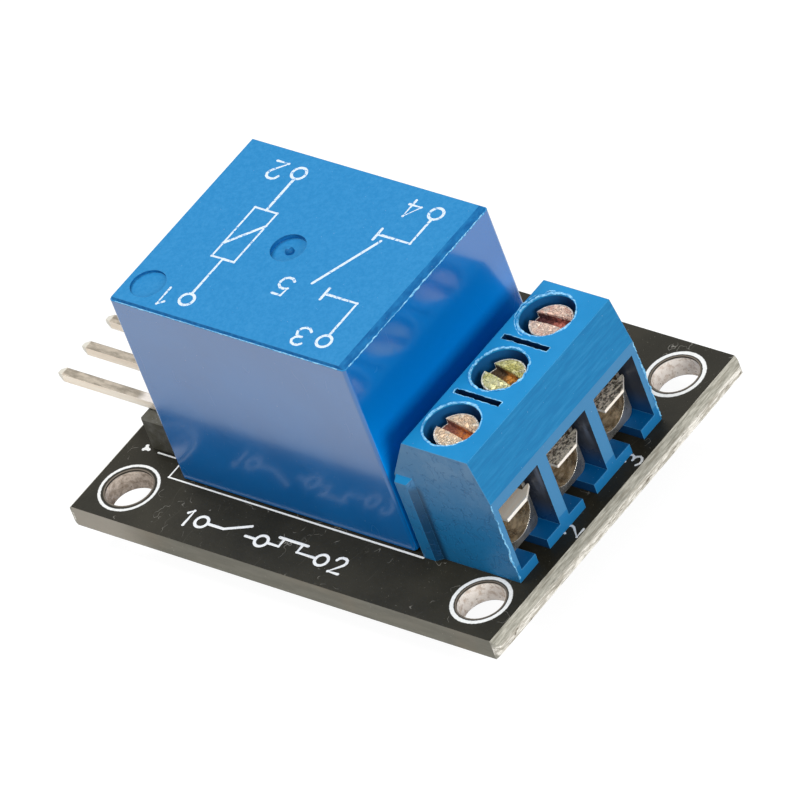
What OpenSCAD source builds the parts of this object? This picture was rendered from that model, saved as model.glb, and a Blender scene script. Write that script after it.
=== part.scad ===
// Single-channel relay module: circuit board, sealed relay with its working parts,
// three-pole screw terminal block, bent three-pin header and the small driver parts.
// Origin: centre of the four mounting holes, on the underside of the board. +X runs
// along the board towards the terminal block, +Z is up.

/* [Board] */
// Length of the board along X
board_l = 35.1; // [35:0.1:60]
// Width of the board along Y
board_w = 26.5; // [26:0.1:40]
// Thickness of the board
board_t = 1.6; // [0.8:0.1:2.4]
// Diameter of the mounting holes
hole_d = 3.2; // [2.2:0.1:3.6]
// Distance from a short edge to the hole centres
hole_inset_x = 3.2; // [2.9:0.05:3.9]
// Distance from a long edge to the hole centres
hole_inset_y = 2.75; // [2.4:0.05:3.4]
// Radius of the board corners
corner_r = 0.5; // [0.2:0.1:1.5]
// Reach of the snapped web past the faces, on the scored short edges
score_d = 0.5; // [0.1:0.05:0.6]
// Depth of the score above and below the snapped web
score_h = 0.48; // [0.1:0.02:0.6]
// How far the soldered leads reach below the board
lead_out = 2; // [1.2:0.1:3]
// Radius of the relay's solder joints
relay_joint_r = 1.15; // [0.9:0.05:1.4]
// Height of the relay's solder joints
relay_joint_h = 1.05; // [0.7:0.05:1.2]
// Radius of the terminal block's solder joints
block_joint_r = 1.4; // [1:0.05:1.8]
// Height of the terminal block's solder joints
block_joint_h = 1.2; // [0.8:0.05:1.2]
// Radius of the header's solder joints
header_joint_r = 0.9; // [0.7:0.05:1.1]
// Height of the header's solder joints
header_joint_h = 0.8; // [0.5:0.05:0.9]

/* [Relay case] */
// Distance from the board's -Y edge to the case
relay_margin = 4.7; // [3:0.05:6]
// Length of the case along X
case_l = 19.1; // [19:0.1:22]
// Width of the case along Y
case_w = 15.3; // [15:0.1:18]
// Height of the case walls up to the lip
case_h = 15.5; // [15.3:0.1:20]
// Wall thickness of the case
case_wall = 0.8; // [0.4:0.05:1]
// Roof thickness of the case, below the raised top
case_roof = 0.7; // [0.4:0.05:1]
// Height of the raised top above the lip
crown_h = 0.2; // [0.1:0.05:0.4]
// Width of the bevel at the end of the raised top towards the terminal block
crown_bevel = 0.45; // [0.1:0.05:0.8]
// Width of the narrow bevel on the other three edges of the raised top
crown_edge = 0.08; // [0.04:0.02:0.3]
// Width of the flat lip round the raised top
lip_w = 0.08; // [0.02:0.02:0.3]
// Radius of the upright corners of the case
case_r = 0.25; // [0.15:0.05:1.2]
// Gap between the case and the board
stand_off = 0.1; // [0.05:0.05:0.6]
// Diameter of the two moulding recesses in the top
recess_d = 2.4; // [1:0.1:3]
// Depth of the corner recess
recess_corner_depth = 0.2; // [0.1:0.05:0.5]
// Depth of the middle recess
recess_middle_depth = 0.35; // [0.1:0.05:0.5]
// Radius of the gate stub in the middle recess
gate_r = 0.32; // [0.1:0.02:0.5]

/* [Relay works] */
// Thickness of the sealing resin
seal_t = 0.6; // [0.3:0.1:1]
// Thickness of the relay base
base_t = 1.2; // [0.8:0.1:1.5]
// Height of the base's wall between coil and contacts
barrier_h = 5; // [2:0.5:6]
// Thickness of the yoke and its legs
yoke_t = 1.2; // [0.8:0.1:1.4]
// Gap between the edges of the yoke and the coil pins
yoke_gap = 0.7; // [0.4:0.1:2]
// Distance from the case end to the back of the yoke
yoke_inset = 1.5; // [1.4:0.05:1.8]
// Distance from the case end to the coil axis
coil_inset = 7.6; // [7.5:0.05:8]
// Radius of the iron core
core_r = 1.8; // [1.2:0.1:2]
// Radius of the pole face
pole_r = 2.6; // [2.2:0.1:3]
// Thickness of the pole face
pole_t = 0.5; // [0.3:0.1:0.8]
// Wall of the bobbin tube
bobbin_wall = 0.6; // [0.4:0.1:0.8]
// Thickness of the bobbin flanges
flange_t = 0.7; // [0.5:0.1:1]
// Outer radius of the winding
winding_r = 4.4; // [3.6:0.1:4.5]
// Thickness of the armature
armature_t = 1; // [0.6:0.1:1.2]
// Width of the armature
armature_w = 9; // [6:0.5:10]
// Reach of the armature past the coil axis
armature_reach = 3.8; // [3:0.1:4]
// Turning angle of the armature, in degrees
armature_swing = 2; // [1:0.1:2.4]
// Thickness of the contact spring
leaf_t = 0.15; // [0.1:0.01:0.25]
// Width of the contact spring
leaf_w = 4; // [2.6:0.1:5]
// Drop of the contact spring from the armature to the contacts
leaf_drop = 2.5; // [2.2:0.1:3]
// Radius of the contact rivets
contact_r = 1.2; // [0.8:0.1:1.3]
// Height of a contact rivet's head
contact_h = 0.4; // [0.2:0.05:0.5]
// Thickness of the fixed contact strips
strip_t = 0.4; // [0.3:0.05:0.5]
// Width of the fixed contact strips
strip_w = 2.4; // [2:0.1:2.6]
// Width of a relay contact pin
relay_pin_w = 1; // [0.6:0.05:1.1]
// Side of a coil pin
coil_pin_w = 0.6; // [0.4:0.05:0.7]
// Distance from the case end to the common pin
common_inset = 2.4; // [2.3:0.05:2.6]
// Distance from the common pin to the coil pins
coil_pin_x = 2; // [1.9:0.05:2.4]
// Distance from the case's other end to the contact pins
contact_inset = 2.5; // [2.3:0.05:2.8]
// Distance from the case sides to the outer pins
side_inset = 1.65; // [1.5:0.05:2]
// Overhang of a fixed contact past its pin, towards the coil
contact_reach = 0.6; // [0.4:0.05:1]
// Distance from the yoke to the first stake of the contact spring
stake_start = 2.4; // [1.2:0.1:3]
// Spacing of the stakes of the contact spring
stake_pitch = 3.2; // [2:0.1:4]

/* [Terminal block] */
// Distance from the board's -Y edge to the block
block_margin = 4.88; // [3:0.01:6]
// Spacing of the poles
pitch = 5.08; // [4.9:0.01:5.4]
// Depth of the block along X
block_d = 7.6; // [7.4:0.1:9]
// Height of the block
block_h = 10.1; // [10:0.1:12]
// Distance from the board's short edge to the front of the block
block_inset = 1.62; // [1:0.01:2.5]
// Gap between the block and the relay
block_gap = 0.63; // [0.4:0.01:1.5]
// Width of the flat top
top_w = 5.2; // [4.6:0.1:5.6]
// Run of the front slope
slope_run = 0.68; // [0.3:0.02:1.2]
// Height of the foot of the front slope
slope_foot = 6.74; // [6.6:0.02:8]
// Height of the foot of the rear bevel
rear_foot = 6.9; // [5:0.1:8]
// Width of a wire entry
entry_w = 4.16; // [4.06:0.02:4.3]
// Height of the top of the wire entries
entry_top = 5.93; // [5.9:0.01:6.1]
// Thickness of the floor tabs
floor_t = 0.75; // [0.5:0.05:0.9]
// Width of the slots in the floor
floor_slot_w = 1.25; // [1.1:0.05:1.6]
// Thickness of the rear wall
rear_wall = 0.9; // [0.5:0.05:1.2]
// Radius of the screw wells
well_r = 1.85; // [1.7:0.05:1.95]
// Distance of the wells' axes behind the screw axes
well_back = 0.15; // [0:0.05:0.2]
// Distance from the front of the block to the screw axes
screw_inset = 3.57; // [3.5:0.01:3.7]
// Length of the narrow slots between the wells
vent_l = 3.66; // [2:0.02:4.4]
// Width of the narrow slots between the wells
vent_w = 0.46; // [0.2:0.02:0.5]
// Depth of the narrow slots between the wells
vent_depth = 2.4; // [0.5:0.1:3]
// Width of the joining rib on the block's end
rib_w = 1.3; // [0.8:0.05:1.6]
// Height that the rib stands proud of the end wall
rib_h = 0.36; // [0.2:0.02:0.5]
// Height of the rib above the board
rib_top = 6.6; // [4:0.1:6.8]
// Clearance of the joining groove in the other end round a rib
groove_fit = 0.06; // [0.02:0.01:0.1]

/* [Clamps] */
// Radius of the wire bore in a cage
cage_r = 1.52; // [1.3:0.02:1.55]
// Thickness of the cage walls
cage_wall = 0.27; // [0.2:0.01:0.4]
// Thickness of a cage's floor under the bore
cage_floor = 0.45; // [0.3:0.05:0.5]
// Radius of a cage's lower outer corners
cage_corner_r = 0.6; // [0.2:0.05:0.8]
// Length of a cage along X
cage_l = 4.28; // [3.6:0.02:4.3]
// Thickness of the threaded roof of a cage
cage_roof = 1.3; // [0.8:0.05:1.35]
// Height of the underside of a pressure plate above the board, open
plate_up = 3.75; // [3.7:0.01:3.85]
// Thickness of a pressure plate
plate_t = 0.25; // [0.15:0.01:0.3]
// Width of a pressure plate inside the cage
plate_w = 2.7; // [2.3:0.02:2.75]
// Reach of the pressure plate in front of its cage
plate_nose = 0.95; // [0.3:0.05:1.1]
// Travel of a pressure plate
plate_travel = 1.6; // [1:0.05:1.65]
// Length of the guide flange at the back of a pressure plate
guide_l = 0.5; // [0.3:0.05:0.6]
// Radius of the screw shank
shank_r = 1.2; // [0.9:0.05:1.25]
// Radial clearance of the screw in the threaded roof
thread_fit = 0.05; // [0.02:0.01:0.08]
// Radius of the screw head
head_r = 1.45; // [1.35:0.05:1.6]
// Height of the rim of the screw head
head_h = 0.85; // [0.6:0.05:0.9]
// Height of the dome on the screw head
dome_h = 0.15; // [0.1:0.05:0.3]
// Depth of the head's rim below the top of the block
head_depth = 0.45; // [0.4:0.05:0.8]
// Width of the screwdriver slot
slot_w = 0.8; // [0.3:0.02:0.9]
// Depth of the screwdriver slot below the dome
slot_depth = 0.6; // [0.4:0.05:0.8]
// Width of a terminal pin
block_pin_w = 1; // [0.7:0.05:1.05]
// Thickness of a terminal pin
block_pin_t = 0.8; // [0.5:0.05:0.9]
// Distance of the terminal pins behind the screw axes
cage_pin_back = 0.35; // [0:0.05:0.8]

/* [Header] */
// Distance from the header's middle line to the board's middle line
header_y = -3.17; // [-4:0.01:3]
// Spacing of the header pins, and depth of the body
header_pitch = 2.54; // [2.5:0.01:2.6]
// Height of the header body
header_h = 2.5; // [2:0.1:3]
// Gap between the header body and the relay
header_gap = 1.3; // [0.5:0.05:1.5]
// Side of the square pins
pin_w = 0.64; // [0.5:0.01:0.7]
// Height of the level part of the pins above the body
pin_rise = 0.45; // [0.4:0.01:0.8]
// Reach of the pins past the board's edge
pin_reach = 5.15; // [2:0.05:9]
// Length of the pointed pin tips
pin_tip = 0.45; // [0.2:0.05:0.8]
// Depth of the notches between the header's cells
notch_d = 0.45; // [0.2:0.05:0.7]
// Width of the bevel on the header's end corners
header_bevel = 0.15; // [0.05:0.05:0.4]
// How far the header pins reach below the board
pin_out = 1.4; // [1:0.1:2]

/* [Small parts] */
// Clearance between the back of the relay and the row of small parts
row_gap = 0.9; // [0.5:0.1:1.5]
// Gap between the diode and the transistor
diode_gap = 1.55; // [1:0.05:2]
// Gap between neighbouring chip parts
chip_gap = 1.1; // [0.6:0.1:1.4]
// Distance from the diode's middle to the coil pins
diode_back = 1.4; // [0:0.1:1.5]
// Length of the diode body
diode_l = 4.3; // [3:0.1:4.6]
// Width of the diode body
diode_w = 2.6; // [1.6:0.1:2.8]
// Height of the diode body
diode_h = 2.1; // [1:0.1:2.4]
// Length of the transistor body
transistor_l = 2.9; // [2.6:0.1:3.1]
// Width of the transistor body
transistor_w = 1.3; // [1.1:0.1:1.5]
// Height of the transistor body
transistor_h = 0.95; // [0.8:0.05:1.1]
// Length of a chip part
chip_l = 2; // [1.6:0.1:2.2]
// Width of a chip part
chip_w = 1.25; // [0.8:0.05:1.4]
// Height of a chip resistor
chip_h = 0.5; // [0.4:0.05:0.7]
// Height of the light-emitting diode
led_h = 0.8; // [0.6:0.05:1]
// Thickness of the solder and metal ends of the small parts
cap_t = 0.3; // [0.2:0.05:0.4]

/* [Hidden] */
$fn = 64;
cut = 1;             // overshoot of the cutting solids
seat = 0.02;         // gap between fixed pieces that are pressed or cast together
running = 0.05;      // gap between moving pieces that meet
POLES = [-1, 0, 1];  // pole positions in pitches, from the block's -Y end

// heights, from the underside of the board
top_z = board_t;
foot_z = -lead_out;

// positions along X, worked out from the +X edge of the board
front_x = board_l/2 - block_inset;
rear_x = front_x - block_d;
screw_x = front_x - screw_inset;
case_x1 = rear_x - block_gap;
case_x0 = case_x1 - case_l;
header_x1 = case_x0 - header_gap;
header_x = header_x1 - header_pitch/2;
pin_tip_x = -board_l/2 - pin_reach;
relay_y = -board_w/2 + relay_margin + case_w/2;
case_y0 = relay_y - case_w/2;
case_y1 = relay_y + case_w/2;

// relay heights
case_z0 = top_z + stand_off;
lip_z = case_z0 + case_h;
crown_z = lip_z + crown_h;
ceiling_z = lip_z - case_roof;
base_z0 = case_z0 + seal_t;
base_z1 = base_z0 + base_t;
coil_z0 = base_z1 + yoke_t;
coil_x = case_x0 + coil_inset;

// armature and contacts
headroom = 0.62;     // room above the armature for the leaf and its rivets
armature_z1 = ceiling_z - headroom - leaf_t;
armature_z0 = armature_z1 - armature_t;
yoke_x0 = case_x0 + yoke_inset;
yoke_x1 = yoke_x0 + yoke_t;
yoke_z1 = armature_z0 - running;
pole_z1 = armature_z0 - (coil_x + pole_r - yoke_x1)*tan(armature_swing) - 2*running;
pole_z0 = pole_z1 - pole_t;
armature_x1 = coil_x + armature_reach;
contact_x = case_x1 - contact_inset - contact_reach;
contact_drop = (contact_x + contact_r - yoke_x1)*sin(armature_swing);
leaf_z0 = armature_z1 - leaf_drop;
nc_face_z = leaf_z0 + leaf_t + contact_h + running/2;
no_face_z = leaf_z0 - contact_h - contact_drop - running;

// relay pins, in plan
common_x = case_x0 + common_inset;
coil_pin_px = common_x + coil_pin_x;
contact_px = case_x1 - contact_inset;
outer_pin_y = case_w/2 - side_inset;
yoke_w = 2*(outer_pin_y - coil_pin_w/2 - yoke_gap);

// terminal block heights and clamp places
floor_z = top_z + floor_t;
entry_z = top_z + entry_top;
block_z1 = top_z + block_h;
bore_z = floor_z + cage_floor + cage_r;
cage_x1 = screw_x + cage_l/2;
cage_x0 = screw_x - cage_l/2;
cage_z1 = entry_z - seat;
plate_z0 = top_z + plate_up;
plate_z1 = plate_z0 + plate_t;
rim_z = block_z1 - head_depth;
head_z0 = rim_z - head_h;
well_z = head_z0 - plate_travel - 2*running;
plate_x0 = cage_x0 + 0.1;
plate_x1 = cage_x1 + plate_nose;
rib_x0 = rear_x + 0.15;
block_pin_px = screw_x - cage_pin_back;
block_len = len(POLES)*pitch;
block_y = -board_w/2 + block_margin + block_len/2;

// header heights
header_z1 = top_z + header_h;
level_z = header_z1 + pin_rise;

// row of small parts behind the relay
row_y = case_y1 + row_gap + diode_w/2;
diode_x = coil_pin_px - diode_back;
transistor_x = diode_x + diode_l/2 + diode_gap + transistor_l/2;
chip_pitch = chip_l + chip_gap;
resistor_a_x = transistor_x + (transistor_l + chip_pitch)/2;
resistor_b_x = resistor_a_x + chip_pitch;
led_x = resistor_b_x + chip_pitch;

// holes in the board for leads
relay_hole_r = relay_pin_w/2 + 0.15;
coil_hole_r = coil_pin_w/sqrt(2) + 0.08;
block_hole_r = norm([block_pin_w, block_pin_t])/2 + 0.08;
header_hole_r = pin_w/sqrt(2) + 0.06;

RELAY_PINS = [
    [common_x, relay_y],
    [contact_px, relay_y - outer_pin_y],
    [contact_px, relay_y + outer_pin_y]
];
COIL_PINS = [
    [coil_pin_px, relay_y - outer_pin_y],
    [coil_pin_px, relay_y + outer_pin_y]
];

function pole_y(i) = block_y + POLES[i - 1]*pitch;
function header_pin_y(i) = header_y + (i - 2)*header_pitch;

// ---------- shared shapes ----------

// A box from its two corners
module box(a, b) {
    translate(a) cube(b - a);
}

// A flat plate with rounded upright corners, standing on z = 0
module rounded_plate(l, w, h, r) {
    linear_extrude(h) {
        square([l - 2*r, w], center = true);
        square([l, w - 2*r], center = true);
        for (sx = [-1, 1], sy = [-1, 1])
            translate([sx*(l/2 - r), sy*(w/2 - r)]) circle(r);
    }
}

// An outline in the XZ plane, given width w along Y about y
module side_profile(points, w, y) {
    translate([0, y + w/2, 0]) rotate([90, 0, 0]) linear_extrude(w) polygon(points);
}

// A four-sided point, from a square of side w down to half of it
module pin_point(w, len) {
    hull() {
        translate([-w/2, -w/2, 0]) cube([w, w, 0.01]);
        translate([-w/4, -w/4, len - 0.01]) cube([w/2, w/2, 0.01]);
    }
}

// A solder cone under the board round the place p
module solder_cone(p, r, h) {
    translate([p.x, p.y, -h]) cylinder(h = h - seat, r1 = r*0.45, r2 = r);
}

// ---------- board ----------

module board_outline() {
    rounded_plate(board_l, board_w, board_t, corner_r);
}

// The sloping side that scoring leaves along one short edge, top or bottom
module score_cut(side, upper) {
    z = upper ? board_t : 0;
    dz = upper ? -score_h : score_h;
    x = side*board_l/2;
    side_profile([[x - side*score_d, z], [x, z + dz], [x + side*cut, z + dz],
        [x + side*cut, z - dz], [x - side*score_d, z - dz]], board_w + 2*cut, 0);
}

module circuit_board() {
    color([0.13, 0.13, 0.12]) difference() {
        board_outline();
        for (side = [-1, 1], upper = [true, false]) score_cut(side, upper);
        for (sx = [-1, 1], sy = [-1, 1])
            translate([sx*(board_l/2 - hole_inset_x), sy*(board_w/2 - hole_inset_y), -cut])
                cylinder(h = board_t + 2*cut, d = hole_d);
        for (p = RELAY_PINS)
            translate([p.x, p.y, -cut]) cylinder(h = board_t + 2*cut, r = relay_hole_r);
        for (p = COIL_PINS)
            translate([p.x, p.y, -cut]) cylinder(h = board_t + 2*cut, r = coil_hole_r);
        for (i = [1:3]) {
            translate([block_pin_px, pole_y(i), -cut])
                cylinder(h = board_t + 2*cut, r = block_hole_r);
            translate([header_x, header_pin_y(i), -cut])
                cylinder(h = board_t + 2*cut, r = header_hole_r);
        }
    }
}

// ---------- relay case ----------

case_mid = [(case_x0 + case_x1)/2, relay_y];
inner_l = case_l - 2*case_wall;
inner_w = case_w - 2*case_wall;
inner_r = max(case_r - case_wall, 0.1);

// The raised top of the case: a plate with one wide and three narrow bevels
module case_crown() {
    l = case_l - 2*lip_w;
    w = case_w - 2*lip_w;
    difference() {
        translate([0, 0, -cut/2]) rounded_plate(l, w, crown_h + cut/2, case_r);
        for (s = [-1, 1]) {
            translate([s*l/2, 0, 0])
                rotate([0, s*atan2(crown_h, s > 0 ? crown_bevel : crown_edge), 0])
                    translate([-case_l/2, -case_w, 0]) cube([case_l, 2*case_w, 2*cut]);
            translate([0, s*w/2, 0]) rotate([-s*atan2(crown_h, crown_edge), 0, 0])
                translate([-case_l, -case_w/2, 0]) cube([2*case_l, case_w, 2*cut]);
        }
    }
}

module relay_case() {
    color([0.13, 0.5, 0.8]) difference() {
        union() {
            translate([case_mid.x, case_mid.y, case_z0])
                rounded_plate(case_l, case_w, case_h, case_r);
            translate([case_mid.x, case_mid.y, lip_z]) case_crown();
        }
        translate([case_mid.x, case_mid.y, case_z0 - cut])
            rounded_plate(inner_l, inner_w, ceiling_z - case_z0 + cut, inner_r);
        translate([case_x0 + 1.8, case_y0 + 1.95, crown_z - recess_corner_depth])
            cylinder(h = cut, d = recess_d);
        translate([case_mid.x - 0.8, case_mid.y + 0.1, crown_z - recess_middle_depth])
            difference() {
                cylinder(h = cut, d = recess_d);
                sphere(r = gate_r);
            }
    }
}

module relay_seal() {
    color([0.12, 0.12, 0.13]) difference() {
        translate([case_mid.x, case_mid.y, case_z0 + seat])
            rounded_plate(inner_l - 2*seat, inner_w - 2*seat, seal_t - 2*seat, inner_r);
        relay_pin_cuts();
    }
}

// Passages for the five pins through base and seal
module relay_pin_cuts() {
    for (p = RELAY_PINS)
        box([p.x - strip_t/2 - seat, p.y - relay_pin_w/2 - seat, case_z0 - cut],
            [p.x + strip_t/2 + seat, p.y + relay_pin_w/2 + seat, base_z1 + cut]);
    for (p = COIL_PINS)
        box([p.x - coil_pin_w/2 - seat, p.y - coil_pin_w/2 - seat, case_z0 - cut],
            [p.x + coil_pin_w/2 + seat, p.y + coil_pin_w/2 + seat, base_z1 + cut]);
}

barrier_x = armature_x1 + 0.9;
barrier_t = 0.6;

module relay_base() {
    color([0.1, 0.42, 0.7]) difference() {
        union() {
            translate([case_mid.x, case_mid.y, base_z0])
                rounded_plate(inner_l - 2*seat, inner_w - 2*seat, base_t, inner_r);
            box([barrier_x, relay_y - inner_w/2 + seat, base_z1 - seat],
                [barrier_x + barrier_t, relay_y + inner_w/2 - seat, base_z1 + barrier_h]);
        }
        relay_pin_cuts();
        // room for the foot of the common terminal
        box([case_x0 + case_wall - cut, relay_y - relay_pin_w/2 - seat, base_z1 - strip_t - seat],
            [common_x + strip_t/2 + seat, relay_y + relay_pin_w/2 + seat, base_z1 + cut]);
    }
}

// ---------- coil ----------

bobbin_r = core_r + seat + bobbin_wall;
upper_z1 = pole_z0 - seat;
upper_z0 = upper_z1 - flange_t;
lower_z1 = coil_z0 + flange_t;
flange_reach = winding_r + 0.2;

module coil_bobbin() {
    color([0.92, 0.9, 0.84]) difference() {
        union() {
            translate([coil_x, relay_y, coil_z0 + seat])
                cylinder(h = upper_z1 - coil_z0 - seat, r = bobbin_r);
            box([yoke_x1 + seat, relay_y - outer_pin_y - coil_pin_w, coil_z0 + seat],
                [coil_x + flange_reach, relay_y + outer_pin_y + coil_pin_w, lower_z1]);
            box([yoke_x1 + seat, relay_y - flange_reach, upper_z0],
                [coil_x + flange_reach, relay_y + flange_reach, upper_z1]);
        }
        translate([coil_x, relay_y, coil_z0 - cut])
            cylinder(h = upper_z1 - coil_z0 + 2*cut, r = core_r + seat);
        for (p = COIL_PINS)
            box([p.x - coil_pin_w/2 - seat, p.y - coil_pin_w/2 - seat, coil_z0 - cut],
                [p.x + coil_pin_w/2 + seat, p.y + coil_pin_w/2 + seat, lower_z1 + cut]);
    }
}

module coil_winding() {
    color([0.72, 0.34, 0.16]) translate([coil_x, relay_y, lower_z1 + seat]) difference() {
        cylinder(h = upper_z0 - lower_z1 - 2*seat, r = winding_r);
        translate([0, 0, -cut])
            cylinder(h = upper_z0 - lower_z1 + 2*cut, r = bobbin_r + seat);
    }
}

module coil_core() {
    color([0.6, 0.6, 0.62]) translate([coil_x, relay_y, 0]) {
        translate([0, 0, base_z1 + seat]) cylinder(h = pole_z1 - base_z1 - seat, r = core_r);
        translate([0, 0, pole_z0]) cylinder(h = pole_t, r = pole_r);
    }
}

module relay_yoke() {
    foot_x1 = coil_x + core_r + 1.6;
    color([0.62, 0.62, 0.6]) difference() {
        union() {
            box([yoke_x0, relay_y - yoke_w/2, base_z1 + seat],
                [foot_x1, relay_y + yoke_w/2, coil_z0]);
            box([yoke_x0, relay_y - yoke_w/2, base_z1 + seat],
                [yoke_x1, relay_y + yoke_w/2, yoke_z1]);
        }
        translate([coil_x, relay_y, base_z1 - cut])
            cylinder(h = yoke_t + 2*cut, r = core_r + seat);
        // clearance round the common pin's foot
        box([yoke_x0 - cut, relay_y - relay_pin_w/2 - seat, base_z1 - cut],
            [common_x + strip_t/2 + 2*seat, relay_y + relay_pin_w/2 + seat, base_z1 + 3*seat]);
    }
}

// ---------- armature and contacts ----------

rivet_r = 0.5;       // shank of the contact rivets
stake_r = 0.6;       // stakes that hold the leaf on the armature
stake_x = [yoke_x1 + stake_start, yoke_x1 + stake_start + stake_pitch];

module relay_armature() {
    color([0.66, 0.66, 0.68]) {
        box([yoke_x0 - 0.2, relay_y - armature_w/2, armature_z0],
            [armature_x1, relay_y + armature_w/2, armature_z1]);
        for (x = stake_x)
            translate([x, relay_y, armature_z1 - seat])
                cylinder(h = leaf_t + 0.25, r = stake_r);
    }
}

// The leaf lies on the armature, steps down to the contacts and is bent down behind the yoke
leaf_x0 = yoke_x0 - 0.45;
leaf_step = 1.6;
leaf_x1 = contact_x + contact_r + 0.3;
leaf_hook = 1.2;

module contact_spring() {
    z0 = armature_z1 + seat;
    outline = [
        [leaf_x0, armature_z0 - leaf_hook], [leaf_x0 + leaf_t, armature_z0 - leaf_hook],
        [leaf_x0 + leaf_t, z0], [armature_x1 + 0.1, z0],
        [armature_x1 + 0.1 + leaf_step, leaf_z0], [leaf_x1, leaf_z0],
        [leaf_x1, leaf_z0 + leaf_t], [armature_x1 + 0.16 + leaf_step, leaf_z0 + leaf_t],
        [armature_x1 + 0.16, z0 + leaf_t], [leaf_x0, z0 + leaf_t]
    ];
    color([0.8, 0.5, 0.28]) difference() {
        side_profile(outline, leaf_w, relay_y);
        for (x = stake_x)
            translate([x, relay_y, armature_z1 - cut]) cylinder(h = 3*cut, r = stake_r + seat);
        translate([contact_x, relay_y, leaf_z0 - cut]) cylinder(h = 2.5*cut, r = rivet_r + seat);
    }
}

module moving_contact() {
    color([0.84, 0.83, 0.8]) translate([contact_x, relay_y, 0]) {
        translate([0, 0, leaf_z0 - contact_h]) cylinder(h = contact_h - seat, r = contact_r);
        translate([0, 0, leaf_z0 + leaf_t + seat]) cylinder(h = contact_h - seat, r = contact_r);
        translate([0, 0, leaf_z0 - seat - 0.1])
            cylinder(h = leaf_t + 2*seat + 0.2, r = rivet_r);
    }
}

// A fixed contact strip: pin, upright at y side s, and an arm to the middle at height z
module fixed_terminal(s, z) {
    y = relay_y + s*outer_pin_y;
    x0 = contact_px - strip_t/2;
    arm_y = s*(contact_r + 0.3);
    color([0.75, 0.62, 0.4]) difference() {
        union() {
            box([x0, y - relay_pin_w/2, foot_z], [x0 + strip_t, y + relay_pin_w/2, z + strip_t]);
            box([contact_x - strip_w/2, min(y + s*relay_pin_w/2, relay_y - arm_y), z],
                [x0 + strip_t, max(y + s*relay_pin_w/2, relay_y - arm_y), z + strip_t]);
        }
        translate([contact_x, relay_y, z - cut])
            cylinder(h = strip_t + 2*cut, r = rivet_r + seat);
    }
}

module open_terminal() fixed_terminal(-1, no_face_z - contact_h - strip_t);

module closed_terminal() fixed_terminal(1, nc_face_z + contact_h);

module open_contact() {
    color([0.84, 0.83, 0.8]) translate([contact_x, relay_y, 0]) {
        translate([0, 0, no_face_z - contact_h + seat])
            cylinder(h = contact_h - seat, r = contact_r);
        translate([0, 0, no_face_z - contact_h - strip_t])
            cylinder(h = contact_h + strip_t - seat, r = rivet_r);
    }
}

module closed_contact() {
    color([0.84, 0.83, 0.8]) translate([contact_x, relay_y, nc_face_z]) {
        cylinder(h = contact_h - seat, r = contact_r);
        cylinder(h = contact_h + strip_t, r = rivet_r);
    }
}

// The common strip runs up the back of the yoke and steps over to its pin
module common_terminal() {
    x0 = yoke_x0 - seat - strip_t;
    z_top = armature_z0 - leaf_hook - 0.4;
    color([0.75, 0.62, 0.4]) {
        box([x0, relay_y - relay_pin_w/2, base_z1 - strip_t],
            [x0 + strip_t, relay_y + relay_pin_w/2, z_top]);
        box([x0, relay_y - relay_pin_w/2, base_z1 - strip_t],
            [common_x + strip_t/2, relay_y + relay_pin_w/2, base_z1]);
        box([common_x - strip_t/2, relay_y - relay_pin_w/2, foot_z],
            [common_x + strip_t/2, relay_y + relay_pin_w/2, base_z1]);
    }
}

module coil_pin(i) {
    p = COIL_PINS[i - 1];
    color([0.78, 0.76, 0.72])
        box([p.x - coil_pin_w/2, p.y - coil_pin_w/2, foot_z],
            [p.x + coil_pin_w/2, p.y + coil_pin_w/2, lower_z1 + 0.8]);
}

// ---------- terminal block ----------

block_profile = [
    [rear_x, top_z], [rear_x, top_z + rear_foot],
    [front_x - slope_run - top_w, block_z1], [front_x - slope_run, block_z1],
    [front_x, top_z + slope_foot], [front_x, top_z]
];
block_y0 = block_y - block_len/2;
block_y1 = block_y + block_len/2;

// The joining rib in plan, grown by c, drawn from the wall y = 0 outwards to -Y
module rib_plan(c) {
    polygon([[-c, cut], [-c, -rib_h - c], [rib_w*0.7 + c/2, -rib_h - c], [rib_w + c, 0],
        [rib_w + c, cut]]);
}

module rib() {
    intersection() {
        translate([rib_x0, block_y0, top_z]) linear_extrude(rib_top + rib_h) rib_plan(0);
        // sloping top
        translate([rear_x - cut, block_y0, top_z])
            rotate([90, 0, 90]) linear_extrude(rib_w + 3*cut)
                polygon([[cut, 0], [-rib_h - cut, 0], [-rib_h - cut, rib_top - cut],
                    [-rib_h, rib_top], [0, rib_top + rib_h], [cut, rib_top + rib_h]]);
    }
}

module wire_chamber(i) {
    y = pole_y(i);
    box([rear_x + rear_wall, y - entry_w/2, floor_z], [front_x + cut, y + entry_w/2, entry_z]);
    box([block_pin_px - block_pin_t/2 - 0.3, y - floor_slot_w/2, top_z - cut],
        [front_x + cut, y + floor_slot_w/2, floor_z + cut]);
}

module screw_well(i) {
    translate([screw_x - well_back, pole_y(i), well_z]) cylinder(h = block_z1, r = well_r);
    translate([screw_x, pole_y(i), entry_z - cut])
        cylinder(h = block_z1, r = shank_r + 2*thread_fit);
}

module terminal_housing() {
    color([0.12, 0.48, 0.78]) difference() {
        union() {
            side_profile(block_profile, block_len, block_y);
            rib();
        }
        for (i = [1:3]) {
            wire_chamber(i);
            screw_well(i);
        }
        for (i = [1:2])
            box([screw_x - vent_l/2, (pole_y(i) + pole_y(i + 1) - vent_w)/2, block_z1 - vent_depth],
                [screw_x + vent_l/2, (pole_y(i) + pole_y(i + 1) + vent_w)/2, block_z1 + cut]);
        translate([rib_x0, block_y1, top_z - cut])
            linear_extrude(rib_top + rib_h + cut) rib_plan(groove_fit);
    }
}

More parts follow.
